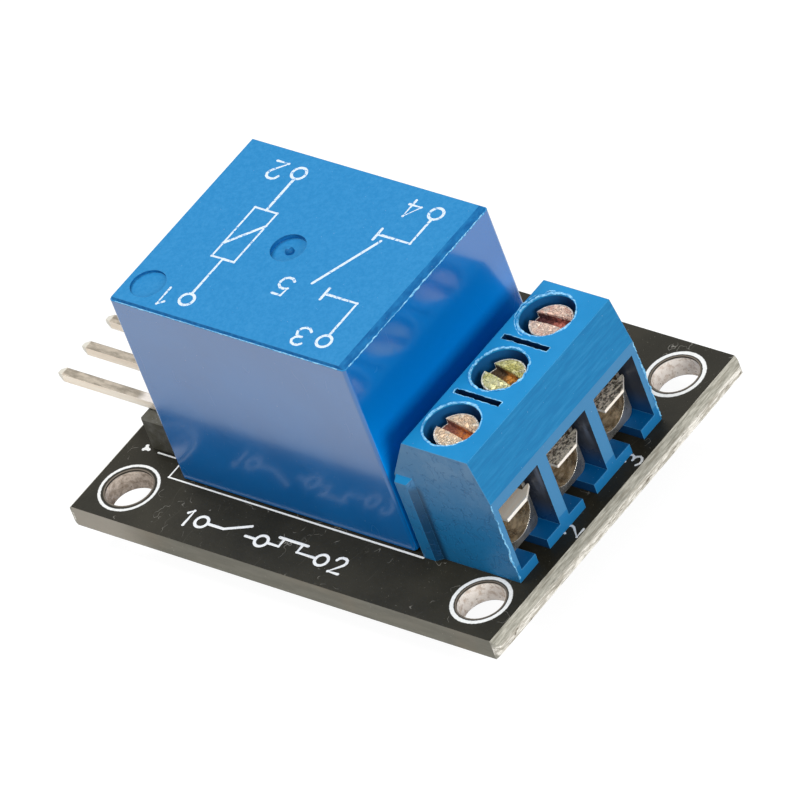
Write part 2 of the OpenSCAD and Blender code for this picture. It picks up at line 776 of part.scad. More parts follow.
// The cage's outline across X: square above, with rounded corners below
module cage_outline(half) {
    r = cage_corner_r;
    translate([-half, floor_z + r]) square([2*half, cage_z1 - floor_z - r]);
    translate([-half + r, floor_z]) square([2*half - 2*r, 2*r]);
    for (s = [-1, 1]) translate([s*(half - r), floor_z + r]) circle(r);
}

// A cage is a square tube along X with a round-bottomed bore, a threaded roof and a pin
module terminal_cage(i) {
    half = cage_r + cage_wall;
    y = pole_y(i);
    bore_top = cage_z1 - cage_roof;
    color([0.6, 0.56, 0.5]) difference() {
        union() {
            translate([cage_x0, y, 0]) rotate([90, 0, 90]) linear_extrude(cage_l)
                cage_outline(half);
            box([block_pin_px - block_pin_t/2, y - block_pin_w/2, foot_z],
                [block_pin_px + block_pin_t/2, y + block_pin_w/2, floor_z + seat]);
        }
        translate([cage_x0 - cut, y, bore_z]) rotate([0, 90, 0])
            cylinder(h = cage_l + 2*cut, r = cage_r);
        box([cage_x0 - cut, y - cage_r, bore_z], [cage_x1 + cut, y + cage_r, bore_top]);
        translate([screw_x, y, bore_top - cut])
            cylinder(h = cage_roof + 2*cut, r = shank_r + thread_fit);
    }
}

// A pressure plate lies under the screw tip. Its nose is cut off at one corner, and a
// flange at its back keeps it square in the cage. The first plate's nose is shorter.
module pressure_plate(i) {
    y = pole_y(i);
    nose_x = cage_x1 + running;
    tip_x = plate_x1 - [0.2, 0, 0][i - 1];
    color([0.8, 0.76, 0.68]) {
        translate([0, 0, plate_z0]) linear_extrude(plate_t) polygon([
            [plate_x0, y - plate_w/2], [nose_x, y - plate_w/2],
            [nose_x, y - plate_w/2 + 0.2], [tip_x, y - plate_w/2 + 0.2],
            [tip_x, y + 0.32*plate_w], [nose_x + 0.1, y + 0.72*plate_w],
            [nose_x, y + 0.72*plate_w], [nose_x, y + plate_w/2],
            [plate_x0, y + plate_w/2]
        ]);
        box([plate_x0, y - plate_w/2 + 0.4, plate_z0 - guide_l],
            [plate_x0 + plate_t, y + plate_w/2 - 0.4, plate_z0 + plate_t/2]);
    }
}

// A screw: shank, head with a low dome, and one wide slot
module terminal_screw(i) {
    y = pole_y(i);
    turn = [-10, -12, 2][i - 1];
    dome_r = (head_r*head_r + dome_h*dome_h)/(2*dome_h);
    color([0.82, 0.74, 0.56]) translate([screw_x, y, 0]) difference() {
        union() {
            translate([0, 0, plate_z1 + running/2])
                cylinder(h = head_z0 - plate_z1, r = shank_r);
            translate([0, 0, head_z0]) cylinder(h = head_h, r = head_r);
            intersection() {
                translate([0, 0, rim_z + dome_h - dome_r]) sphere(r = dome_r);
                translate([0, 0, rim_z - seat]) cylinder(h = dome_h + cut, r = head_r);
            }
        }
        rotate([0, 0, turn]) translate([-head_r - cut, -slot_w/2, rim_z + dome_h - slot_depth])
            cube([2*head_r + 2*cut, slot_w, slot_depth + cut]);
    }
}

// ---------- header ----------

// One cell in plan, with corners cut by a on its -Y side and by b on its +Y side
module header_cell_outline(y, a, b) {
    h = header_pitch/2;
    translate([header_x, y]) polygon([
        [-h, -h + a], [-h + a, -h], [h - a, -h], [h, -h + a],
        [h, h - b], [h - b, h], [-h + b, h], [-h, h - b]
    ]);
}

module header_body() {
    color([0.08, 0.08, 0.08]) difference() {
        translate([0, 0, top_z]) linear_extrude(header_h)
            for (i = [1:3])
                header_cell_outline(header_pin_y(i), i == 1 ? header_bevel : notch_d,
                    i == 3 ? header_bevel : notch_d);
        for (i = [1:3])
            translate([header_x - pin_w/2 - seat, header_pin_y(i) - pin_w/2 - seat, top_z - cut])
                cube([pin_w + 2*seat, pin_w + 2*seat, header_h + 2*cut]);
    }
}

// A square pin that stands in the board and is bent level over the body
module header_pin(i) {
    bend_r = pin_rise;
    bend_x = header_x - bend_r;
    bend_z = level_z - bend_r;
    color([0.78, 0.7, 0.58]) translate([0, header_pin_y(i), 0]) {
        translate([header_x, 0, 0]) {
            box([-pin_w/2, -pin_w/2, pin_tip - pin_out], [pin_w/2, pin_w/2, bend_z]);
            translate([0, 0, pin_tip - pin_out]) rotate([180, 0, 0]) pin_point(pin_w, pin_tip);
        }
        translate([bend_x, 0, bend_z]) rotate([90, 0, 0])
            rotate_extrude(angle = 90) translate([bend_r, 0]) square(pin_w, center = true);
        box([pin_tip_x + pin_tip, -pin_w/2, level_z - pin_w/2],
            [bend_x, pin_w/2, level_z + pin_w/2]);
        translate([pin_tip_x + pin_tip, 0, level_z]) rotate([0, -90, 0])
            pin_point(pin_w, pin_tip);
    }
}

// ---------- small parts ----------

tab_l = 1.1;

module diode_body() {
    color([0.1, 0.1, 0.1]) translate([diode_x, row_y, top_z]) difference() {
        side_profile([[-diode_l/2 + 0.15, 0.05], [-diode_l/2, diode_h*0.45],
            [-diode_l/2 + 0.25, diode_h], [diode_l/2 - 0.25, diode_h],
            [diode_l/2, diode_h*0.45], [diode_l/2 - 0.15, 0.05]], diode_w, 0);
        for (s = [-1, 1]) diode_tab(s, seat);
    }
}

// One folded tab of the diode, grown by c, on side s
module diode_tab(s, c) {
    w = diode_w*0.55;
    x1 = diode_l/2 + cap_t;
    x = s > 0 ? diode_l/2 - tab_l : -x1;
    translate([x - c, -w/2 - c, -c]) cube([tab_l + cap_t + 2*c, w + 2*c, 0.25 + 2*c]);
    translate([s > 0 ? x1 - 0.25 - c : -x1 - c, -w/2 - c, -c])
        cube([0.25 + 2*c, w + 2*c, diode_h*0.4 + 2*c]);
    translate([s > 0 ? diode_l/2 - 0.3 - c : -x1 - c, -w/2 - c, diode_h*0.4 - 0.2 - c])
        cube([cap_t + 0.3 + 2*c, w + 2*c, 0.2 + 2*c]);
}

module diode_tabs() {
    color([0.8, 0.8, 0.8]) translate([diode_x, row_y, top_z])
        for (s = [-1, 1]) diode_tab(s, 0);
}

LEADS = [[-0.95, -1], [0.95, -1], [0, 1]];
lead_w = 0.4;
lead_reach = 0.55;

module transistor_body() {
    color([0.1, 0.1, 0.1]) translate([transistor_x, row_y, top_z]) difference() {
        box([-transistor_l/2, -transistor_w/2, 0.1],
            [transistor_l/2, transistor_w/2, 0.1 + transistor_h]);
        for (p = LEADS) transistor_lead(p, seat);
    }
}

// A gull-wing lead that leaves the body at mid height and steps down to the board
module transistor_lead(p, c) {
    y0 = transistor_w/2;
    translate([p.x, 0, 0]) rotate([0, 0, p.y > 0 ? 0 : 180]) {
        box([-lead_w/2 - c, y0 - 0.3 - c, 0.45 - c], [lead_w/2 + c, y0 + 0.22 + c, 0.6 + c]);
        box([-lead_w/2 - c, y0 + 0.1 - c, -c], [lead_w/2 + c, y0 + 0.22 + c, 0.6 + c]);
        box([-lead_w/2 - c, y0 + 0.1 - c, -c], [lead_w/2 + c, y0 + lead_reach + c, 0.12 + c]);
    }
}

module transistor_leads() {
    color([0.8, 0.8, 0.8]) translate([transistor_x, row_y, top_z])
        for (p = LEADS) transistor_lead(p, 0);
}

// The middle of a chip part at x, of height h, between its metal ends
module chip(x, h) {
    translate([x, row_y, top_z])
        box([-chip_l/2 + cap_t + seat, -chip_w/2, 0.03], [chip_l/2 - cap_t - seat, chip_w/2, h]);
}

module base_resistor() color([0.12, 0.12, 0.13]) chip(resistor_a_x, chip_h);

module led_resistor() color([0.12, 0.12, 0.13]) chip(resistor_b_x, chip_h);

module status_led() color([0.85, 0.2, 0.15]) {
    chip(led_x, led_h*0.45);
    translate([led_x, row_y, top_z + led_h*0.45 - seat])
        box([-chip_l/4, -chip_w/2, 0], [chip_l/4, chip_w/2, led_h*0.55]);
}

module chip_ends() {
    color([0.82, 0.82, 0.82])
        for (c = [[resistor_a_x, chip_h], [resistor_b_x, chip_h], [led_x, led_h*0.45]], s = [-1, 1])
            translate([c.x + s*(chip_l - cap_t)/2, row_y, top_z])
                box([-cap_t/2, -chip_w/2, 0], [cap_t/2, chip_w/2, c.y + 0.02]);
}

// ---------- solder ----------

module relay_solder() {
    color([0.75, 0.76, 0.77]) difference() {
        for (p = concat(RELAY_PINS, COIL_PINS)) solder_cone(p, relay_joint_r, relay_joint_h);
        for (p = RELAY_PINS)
            box([p.x - strip_t/2 - seat, p.y - relay_pin_w/2 - seat, foot_z],
                [p.x + strip_t/2 + seat, p.y + relay_pin_w/2 + seat, cut]);
        for (p = COIL_PINS)
            box([p.x - coil_pin_w/2 - seat, p.y - coil_pin_w/2 - seat, foot_z],
                [p.x + coil_pin_w/2 + seat, p.y + coil_pin_w/2 + seat, cut]);
    }
}

module terminal_solder() {
    color([0.75, 0.76, 0.77]) difference() {
        for (i = [1:3])
            solder_cone([block_pin_px, pole_y(i)], block_joint_r, block_joint_h);
        for (i = [1:3])
            box([block_pin_px - block_pin_t/2 - seat, pole_y(i) - block_pin_w/2 - seat, foot_z],
                [block_pin_px + block_pin_t/2 + seat, pole_y(i) + block_pin_w/2 + seat, cut]);
    }
}

module header_solder() {
    color([0.75, 0.76, 0.77]) difference() {
        for (i = [1:3])
            solder_cone([header_x, header_pin_y(i)], header_joint_r, header_joint_h);
        for (i = [1:3])
            box([header_x - pin_w/2 - seat, header_pin_y(i) - pin_w/2 - seat, foot_z],
                [header_x + pin_w/2 + seat, header_pin_y(i) + pin_w/2 + seat, cut]);
    }
}

circuit_board();
relay_case();
relay_seal();
relay_base();
coil_bobbin();
coil_winding();
coil_core();
relay_yoke();
relay_armature();
contact_spring();
moving_contact();
common_terminal();
open_terminal();
closed_terminal();
open_contact();
closed_contact();
coil_pin(1);  // coil_pin_1
coil_pin(2);  // coil_pin_2
terminal_housing();
terminal_screw(1);  // terminal_screw_1
terminal_screw(2);  // terminal_screw_2
terminal_screw(3);  // terminal_screw_3
terminal_cage(1);  // terminal_cage_1
terminal_cage(2);  // terminal_cage_2
terminal_cage(3);  // terminal_cage_3
pressure_plate(1);  // pressure_plate_1
pressure_plate(2);  // pressure_plate_2
pressure_plate(3);  // pressure_plate_3
header_body();
header_pin(1);  // header_pin_1
header_pin(2);  // header_pin_2
header_pin(3);  // header_pin_3
diode_body();
diode_tabs();
transistor_body();
transistor_leads();
base_resistor();
led_resistor();
status_led();
chip_ends();
relay_solder();
terminal_solder();
header_solder();
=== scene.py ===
import math
import random

import bmesh
import bpy
from mathutils import Matrix, Vector


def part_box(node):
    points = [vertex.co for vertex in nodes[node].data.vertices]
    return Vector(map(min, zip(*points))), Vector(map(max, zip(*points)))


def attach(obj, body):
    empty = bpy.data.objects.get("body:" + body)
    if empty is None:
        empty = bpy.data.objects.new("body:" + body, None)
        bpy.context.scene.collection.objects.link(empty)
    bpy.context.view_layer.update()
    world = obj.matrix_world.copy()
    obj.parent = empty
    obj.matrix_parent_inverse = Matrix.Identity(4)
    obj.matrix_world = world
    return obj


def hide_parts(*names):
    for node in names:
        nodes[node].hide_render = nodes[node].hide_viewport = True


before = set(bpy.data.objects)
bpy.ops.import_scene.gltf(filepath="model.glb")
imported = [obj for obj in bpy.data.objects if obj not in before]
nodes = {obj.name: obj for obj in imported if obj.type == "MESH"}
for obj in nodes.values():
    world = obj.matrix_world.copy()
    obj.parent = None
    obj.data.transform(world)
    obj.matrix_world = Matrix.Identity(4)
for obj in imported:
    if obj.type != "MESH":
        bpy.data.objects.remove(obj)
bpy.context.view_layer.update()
MM = 0.001


def box_mm(node):
    """A node's lowest and highest corners at rest, in mm."""
    lo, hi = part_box(node)
    return lo / MM, hi / MM


def middle(node):
    lo, hi = box_mm(node)
    return (lo + hi) / 2


BOARD_HI = box_mm("circuit_board")[1]
CASE_LO, CASE_HI = box_mm("relay_case")
BLOCK_LO, BLOCK_HI = box_mm("terminal_housing")
SCREW_HI = box_mm("terminal_screw_1")[1]
PLATE_LO, PLATE_HI = box_mm("pressure_plate_1")
CAGE_HI = box_mm("terminal_cage_1")[1]
TOP = BOARD_HI.z
POLES = (1, 2, 3)
PINS = (1, 2, 3)
POLE_Y = [middle(f"terminal_screw_{i}").y for i in POLES]
SCREW_X = middle("terminal_screw_1").x
PIN_PITCH = 2.54
HEADER_X = box_mm("header_body")[0].x + PIN_PITCH / 2
HEADER_Y = [middle(f"header_pin_{i}").y for i in PINS]
PIN_TIP = box_mm("header_pin_1")[0].x

# places that the frame's boxes don't give
HOLE_X, HOLE_Y, HOLE_R = 14.35, 10.5, 1.6
RING_IN, RING_OUT = 1.87, 2.08
RELAY_LEADS = [(-9.0, -0.9), (5.2, -6.9), (5.2, 5.1), (-7.0, -6.9), (-7.0, 5.1)]
SCORE = 0.5  # reach of the snapped web past the board's faces
CROWN = 0.2  # height of the relay's raised top
HEAD_R = 1.45  # radius of a screw head
WELL_X, WELL_R = SCREW_X - 0.15, 1.85
VENT_L, VENT_W = 3.66, 0.46
ENTRY_TOP, SLOPE_FOOT = TOP + 5.93, TOP + 6.74
END_LO = BLOCK_LO.y + 0.36
RIB_X, RIB_TOP = BLOCK_LO.x + 1.45, TOP + 6.6
GAPS = [(a + b) / 2 for a, b in zip(POLE_Y, POLE_Y[1:])]


# ---------- node graphs ----------


class Value:
    """A socket of a graph. Arithmetic on it adds the Math nodes."""

    def __init__(self, graph, socket):
        self.graph, self.socket = graph, socket

    def math(self, operation, *others):
        return self.graph.node("ShaderNodeMath", {"operation": operation}, [self, *others])

    def __add__(self, other):
        return self.math("ADD", other)

    def __mul__(self, other):
        return self.math("MULTIPLY", other)

    __radd__ = __add__
    __rmul__ = __mul__

    def __sub__(self, other):
        return self.math("SUBTRACT", other)

    def __rsub__(self, other):
        return self * -1 + other

    def __pow__(self, other):
        return self.math("POWER", other)

    def __abs__(self):
        return self.math("ABSOLUTE")

    def __gt__(self, other):
        return self.math("GREATER_THAN", other)

    def __lt__(self, other):
        return self.math("LESS_THAN", other)

    def least(self, other):
        return self.math("MINIMUM", other)

    def most(self, other):
        return self.math("MAXIMUM", other)

    def rise(self, lo, hi):
        """0 below lo, 1 above hi, smooth between. lo may be above hi, which turns it round."""
        return self.graph.node(
            "ShaderNodeMapRange",
            {"interpolation_type": "SMOOTHSTEP"},
            {"Value": self, "From Min": lo, "From Max": hi},
        )


class Graph:
    """A node tree with one way to add a node and feed its sockets."""

    def __init__(self, tree):
        self.tree = tree
        tree.nodes.clear()

    def node(self, kind, settings=None, sockets=(), out=0):
        made = self.tree.nodes.new(kind)
        for key, value in (settings or {}).items():
            setattr(made, key, value)
        pairs = sockets.items() if isinstance(sockets, dict) else enumerate(sockets)
        for key, value in pairs:
            self.feed(made.inputs[key], value)
        return Value(self, made.outputs[out]) if made.outputs else made

    def feed(self, socket, value):
        if isinstance(value, list):
            for item in value:
                self.tree.links.new(item.socket, socket)
        elif isinstance(value, Value):
            self.tree.links.new(value.socket, socket)
        elif isinstance(value, tuple) and len(value) == 3 and socket.type == "RGBA":
            socket.default_value = (*value, 1)
        else:
            socket.default_value = value

    def length(self, a, b):
        return (a * a + b * b) ** 0.5

    def rays(self):
        """1 for what the camera sees, straight or in a shiny or clear surface."""
        seen = [
            self.node("ShaderNodeLightPath", out=f"Is {kind} Ray")
            for kind in ("Camera", "Glossy", "Transmission")
        ]
        return seen[0].most(seen[1]).most(seen[2])


class Paint(Graph):
    """A material under construction: a Principled shader and what feeds it."""

    def __init__(self, name, **sockets):
        self.material = bpy.data.materials.new(name)
        self.material.use_nodes = True
        super().__init__(self.material.node_tree)
        shader = self.node("ShaderNodeBsdfPrincipled")
        self.node("ShaderNodeOutputMaterial", sockets=[shader])
        self.shader = shader.socket.node
        place = self.node("ShaderNodeTexCoord", out="Object")
        self.mm = self.node(
            "ShaderNodeVectorMath", {"operation": "SCALE"}, {0: place, "Scale": 1 / MM}
        )
        self.x, self.y, self.z = (
            self.node("ShaderNodeSeparateXYZ", sockets=[self.mm], out=i) for i in range(3)
        )
        self.set(**sockets)

    def set(self, **sockets):
        for key, value in sockets.items():
            self.feed(self.shader.inputs[key.replace("_", " ")], value)
        return self

    def mix(self, factor, a, b):
        return self.node(
            "ShaderNodeMix", {"data_type": "RGBA"}, {0: factor, 6: a, 7: b}, out=2
        )

    def stretched(self, stretch):
        return self.node(
            "ShaderNodeVectorMath", {"operation": "MULTIPLY"}, [self.mm, stretch]
        )

    def clouds(self, scale, detail=3.0, rough=0.55, stretch=None, shift=0.0):
        """Noise about 0.5, with features of 1/scale mm."""
        vector = self.stretched(stretch) if stretch else self.mm
        if shift:
            vector = self.node(
                "ShaderNodeVectorMath", {"operation": "ADD"}, [vector, (shift,) * 3]
            )
        return self.node(
            "ShaderNodeTexNoise",
            sockets={"Vector": vector, "Scale": scale, "Detail": detail, "Roughness": rough},
        )

    def specks(self, scale, size, share=0.5, stretch=None):
        """Scattered dots: 1 on a dot of radius size (in cells), for a share of the cells."""
        vector = self.stretched(stretch) if stretch else self.mm
        cells = {"Vector": vector, "Scale": scale}
        distance = self.node("ShaderNodeTexVoronoi", sockets=cells, out="Distance")
        tint = self.node("ShaderNodeTexVoronoi", sockets=cells, out="Color")
        draw = self.node("ShaderNodeSeparateColor", sockets=[tint])
        return distance.rise(size, size * 0.5) * (draw < share)

    def scratches(self, scale, stretch, width=0.012, share_lo=0.5):
        """Fine hair lines where stretched noise crosses its middle."""
        lines = self.clouds(scale, 2.0, 0.5, stretch)
        breaks = self.clouds(scale * 0.8, 2.0, 0.5, shift=7.0).rise(share_lo, share_lo + 0.05)
        return abs(lines - 0.5).rise(width, 0.0) * breaks

    def rounded(self, radius):
        """Normals that run round the edges, radius in mm."""
        return self.node("ShaderNodeBevel", {"samples": 6}, {"Radius": radius * MM})

    def edge_highlight(self, normal):
        """Near 1 on a sharp edge, 0 on a flat: where the rounded normal leaves the true one. It
        marks where edges are painted pale as highlights.
        """
        true = self.node("ShaderNodeNewGeometry", out="Normal")
        along = self.node(
            "ShaderNodeVectorMath", {"operation": "DOT_PRODUCT"}, [normal, true], out="Value"
        )
        return along.rise(0.97, 0.8)

    def facing(self):
        """The parts of the true normal along X, Y and Z."""
        true = self.node("ShaderNodeNewGeometry", out="Normal")
        return [self.node("ShaderNodeSeparateXYZ", sockets=[true], out=i) for i in range(3)]

    def bump(self, height, depth, normal=None, strength=1.0):
        """depth in mm for a height of 1."""
        sockets = {"Height": height, "Distance": depth * MM, "Strength": strength}
        if normal is not None:
            sockets["Normal"] = normal
        return self.node("ShaderNodeBump", sockets=sockets)

    def finish(self, *names):
        """Puts the material on CAD nodes, and returns it."""
        for name in names:
            nodes[name].data.materials.clear()
            nodes[name].data.materials.append(self.material)
        return self.material


# ---------- board ----------

FACE_SKIN = 0.02  # what counts as the board's faces, not its edges


def laminate_paint():
    """Solder mask with its printed rings, cut and snapped edges, and drilled walls."""
    p = Paint("black_laminate", Specular_IOR_Level=0.14)
    face = (p.z > TOP - FACE_SKIN).most(p.z < FACE_SKIN)
    corner = p.length(abs(p.x) - HOLE_X, abs(p.y) - HOLE_Y)
    bore = corner < HOLE_R + 0.04
    scored = abs(p.x) > BOARD_HI.x - SCORE - 0.03

    # solder mask, with dust, lint, wiping marks and the faint relief of copper under it
    dull = p.clouds(0.22, 5.0, 0.6)
    dust = p.specks(2.3, 0.09, 0.42) + p.specks(5.0, 0.12, 0.34) + p.specks(9.0, 0.16, 0.3) * 0.6
    lint = p.scratches(0.8, (1.0, 0.9, 1.0), 0.009, 0.56)
    wiped = p.scratches(0.55, (1.0, 0.28, 1.0), 0.006, 0.52)
    mask = p.mix(dull.rise(0.3, 0.75), (0.017, 0.0155, 0.01), (0.03, 0.027, 0.018))
    mask = p.mix(dust.least(1.0) * 0.35, mask, (0.3, 0.28, 0.22))
    mask = p.mix(wiped * 0.14, mask, (0.2, 0.19, 0.16))
    mask = p.mix(lint * 0.5, mask, (0.42, 0.4, 0.35))

    # printed rings round the holes, a little ragged
    ragged = (p.clouds(5.0, 3.0, 0.6) - 0.5) * 0.08
    near = (p.x > 0) * 0.1
    reach = corner + ragged + near
    ring = reach.rise(RING_IN - 0.02, RING_IN + 0.03) * (corner + ragged + near * 0.4).rise(
        RING_OUT + 0.02, RING_OUT - 0.03
    )
    broken = corner.rise(HOLE_R + 0.13, HOLE_R + 0.06)
    mask = p.mix(broken * 0.8, mask, (0.2, 0.165, 0.13))
    ink = p.mix(p.clouds(6.0, 2.0).rise(0.3, 0.8), (0.9, 0.9, 0.88), (0.78, 0.78, 0.75))
    mask = p.mix(ring, mask, ink)

    # the scored short edges: two sloping flats of cut cloth with a snapped web between
    along = p.clouds(4.0, 4.0, 0.7, (1.0, 0.2, 3.0))
    smear = p.clouds(0.5, 3.0, 0.6)
    web = abs(p.z - TOP / 2 + 0.08).rise(0.46, 0.26)
    splinter = p.clouds(3.6, 4.0, 0.7, (1.4, 0.25, 1.8))
    flat = p.mix(along.rise(0.3, 0.7), (0.25, 0.24, 0.195), (0.58, 0.555, 0.475))
    flat = p.mix(smear.rise(0.45, 0.7) * 0.35, flat, (0.32, 0.3, 0.25))
    torn = p.mix(splinter.rise(0.4, 0.6), (0.5, 0.465, 0.39), (0.97, 0.93, 0.84))
    torn = p.mix(p.clouds(3.3, 3.0, 0.6, (1.0, 0.3, 1.5)).rise(0.6, 0.68), torn, (0.2, 0.17, 0.13))
    short_edge = p.mix(web, flat, torn)
    fibres = p.clouds(5.0, 3.0, 0.6, (1.0, 0.1, 1.7)).rise(0.55, 0.64)
    short_edge = p.mix(fibres * 0.55, short_edge, (0.25, 0.225, 0.175))

    # the milled long edges are plain
    milled = p.clouds(1.4, 4.0, 0.6, (0.3, 1.0, 1.6))
    pale_end = p.x.rise(-9.5, -14.5)
    long_edge = p.mix(milled.rise(0.3, 0.7), (0.195, 0.186, 0.152), (0.235, 0.224, 0.184))
    long_edge = p.mix(p.clouds(0.22, 2.0).rise(0.5, 0.7) * 0.3, long_edge, (0.3, 0.24, 0.17))
    long_edge = p.mix(pale_end * 0.7, long_edge, (0.5, 0.45, 0.38))
    long_edge = p.mix(p.specks(3.0, 0.14, 0.25) * 0.5, long_edge, (0.5, 0.46, 0.4))
    edge = p.mix(scored, long_edge, short_edge)

    # drilled walls, pale and broken at one hole, browner at the others
    flecks = p.clouds(2.6, 5.0, 0.7)
    brown = p.mix(flecks.rise(0.36, 0.64), (0.42, 0.34, 0.27), (0.75, 0.65, 0.56))
    cream = p.mix(flecks.rise(0.34, 0.56), (0.66, 0.55, 0.46), (0.97, 0.9, 0.83))
    wall = p.mix(p.x > 0, brown, cream)
    wall = p.mix(p.specks(3.4, 0.2, 0.35) * 0.8, wall, (0.22, 0.16, 0.13))
    wall = p.mix(p.z.rise(TOP - 0.18, TOP - 0.1), wall, (0.035, 0.032, 0.025))
    cut = p.mix(bore, edge, wall)

    p.set(Base_Color=p.mix(face, cut, mask))
    gloss = dull * 0.22 + 0.34 + ring * 0.15 + dust.least(1.0) * 0.2
    p.set(Roughness=face * gloss + (1 - face) * 0.75)
    grain = p.clouds(3.2, 4.0, 0.6) * 0.5 + ring * 0.35 + lint * 0.4
    torn_height = splinter * web * scored * 2.0 + along * 0.8 + milled * 0.3 + flecks * bore
    height = face * grain + (1 - face) * torn_height
    p.set(Normal=p.bump(height, 0.06, p.rounded(0.04), 0.6))
    return p.finish("circuit_board")


# ---------- plastics ----------


def case_paint():
    """Glossy walls under a top with a fine spark-eroded grain."""
    p = Paint("relay_plastic", Specular_IOR_Level=0.16, Coat_Roughness=0.14, Coat_IOR=1.78)
    nx, ny, nz = p.facing()
    up = p.z.rise(CASE_HI.z - CROWN - 0.06, CASE_HI.z - CROWN + 0.02)
    up = up.most((nz > 0.3) * (p.z > CASE_HI.z - 1.5))
    level = nz > 0.97
    cloud = p.clouds(0.16, 3.0)
    fine = p.clouds(4.0, 4.0, 0.62)
    sparse = p.clouds(1.3, 4.0, 0.65)
    top = p.mix(fine.rise(0.3, 0.72), (0.012, 0.215, 0.495), (0.026, 0.25, 0.545))
    top = p.mix(sparse.rise(0.56, 0.7) * 0.25, top, (0.05, 0.3, 0.6))
    side = p.mix(cloud.rise(0.3, 0.7), (0.0, 0.115, 0.36), (0.001, 0.135, 0.41))
    # painted light: the +X wall is painted lighter than the other walls, more so towards its foot,
    # where it stands in shade beside the terminal block
    end = p.mix(p.z.rise(14.5, 8.5), (0.0, 0.14, 0.45), (0.0, 0.28, 0.8))
    side = p.mix(nx > 0.9, side, end)
    base = p.mix(up, side, top)
    # painted shade: the crown's sloping bevels towards +X and -Y are darker, by a patchy amount
    bevel = up * (1 - level) * (nx.most(ny * -1) > 0.2)
    bevel_shade_amount = p.clouds(2.6, 4.0, 0.65, (1.0, 0.4, 1.0)).rise(0.3, 0.7) * 0.5 + 0.45
    base = p.mix(bevel * bevel_shade_amount, base, (0.0, 0.085, 0.27))
    normal = p.rounded(0.05)
    dust = p.specks(1.5, 0.05, 0.4) + p.specks(3.1, 0.07, 0.22)
    base = p.mix(dust.least(1.0) * 0.4, base, (0.55, 0.62, 0.7))
    # painted highlight: pale along the sharp edges
    base = p.mix(p.edge_highlight(normal) * 0.3, base, (0.12, 0.38, 0.68))
    hairs = p.scratches(0.4, (1.0, 0.5, 0.3), 0.004, 0.56)
    smears = p.clouds(0.9, 4.0, 0.6, shift=4.0).rise(0.52, 0.64) * p.clouds(0.2, 2.0).rise(0.5, 0.6)
    # painted reflection: the walls' coat thins towards the bottom, which dims their reflection low
    # down
    p.set(Base_Color=base, Coat_Weight=(1 - up) * p.z.rise(-7.0, 17.0))
    p.set(Roughness=up * (fine * 0.16 + 0.4) + (1 - up) * (cloud * 0.08 + 0.2) + hairs * 0.12)
    height = fine * up * 0.9 + sparse * up * 0.6 + p.clouds(0.3, 2.0) * 1.6 * (1 - up)
    height = height + (smears + dust) * 0.4 - hairs * 0.2
    p.set(Normal=p.bump(height, 0.03, normal, 0.5))
    return p.finish("relay_case")


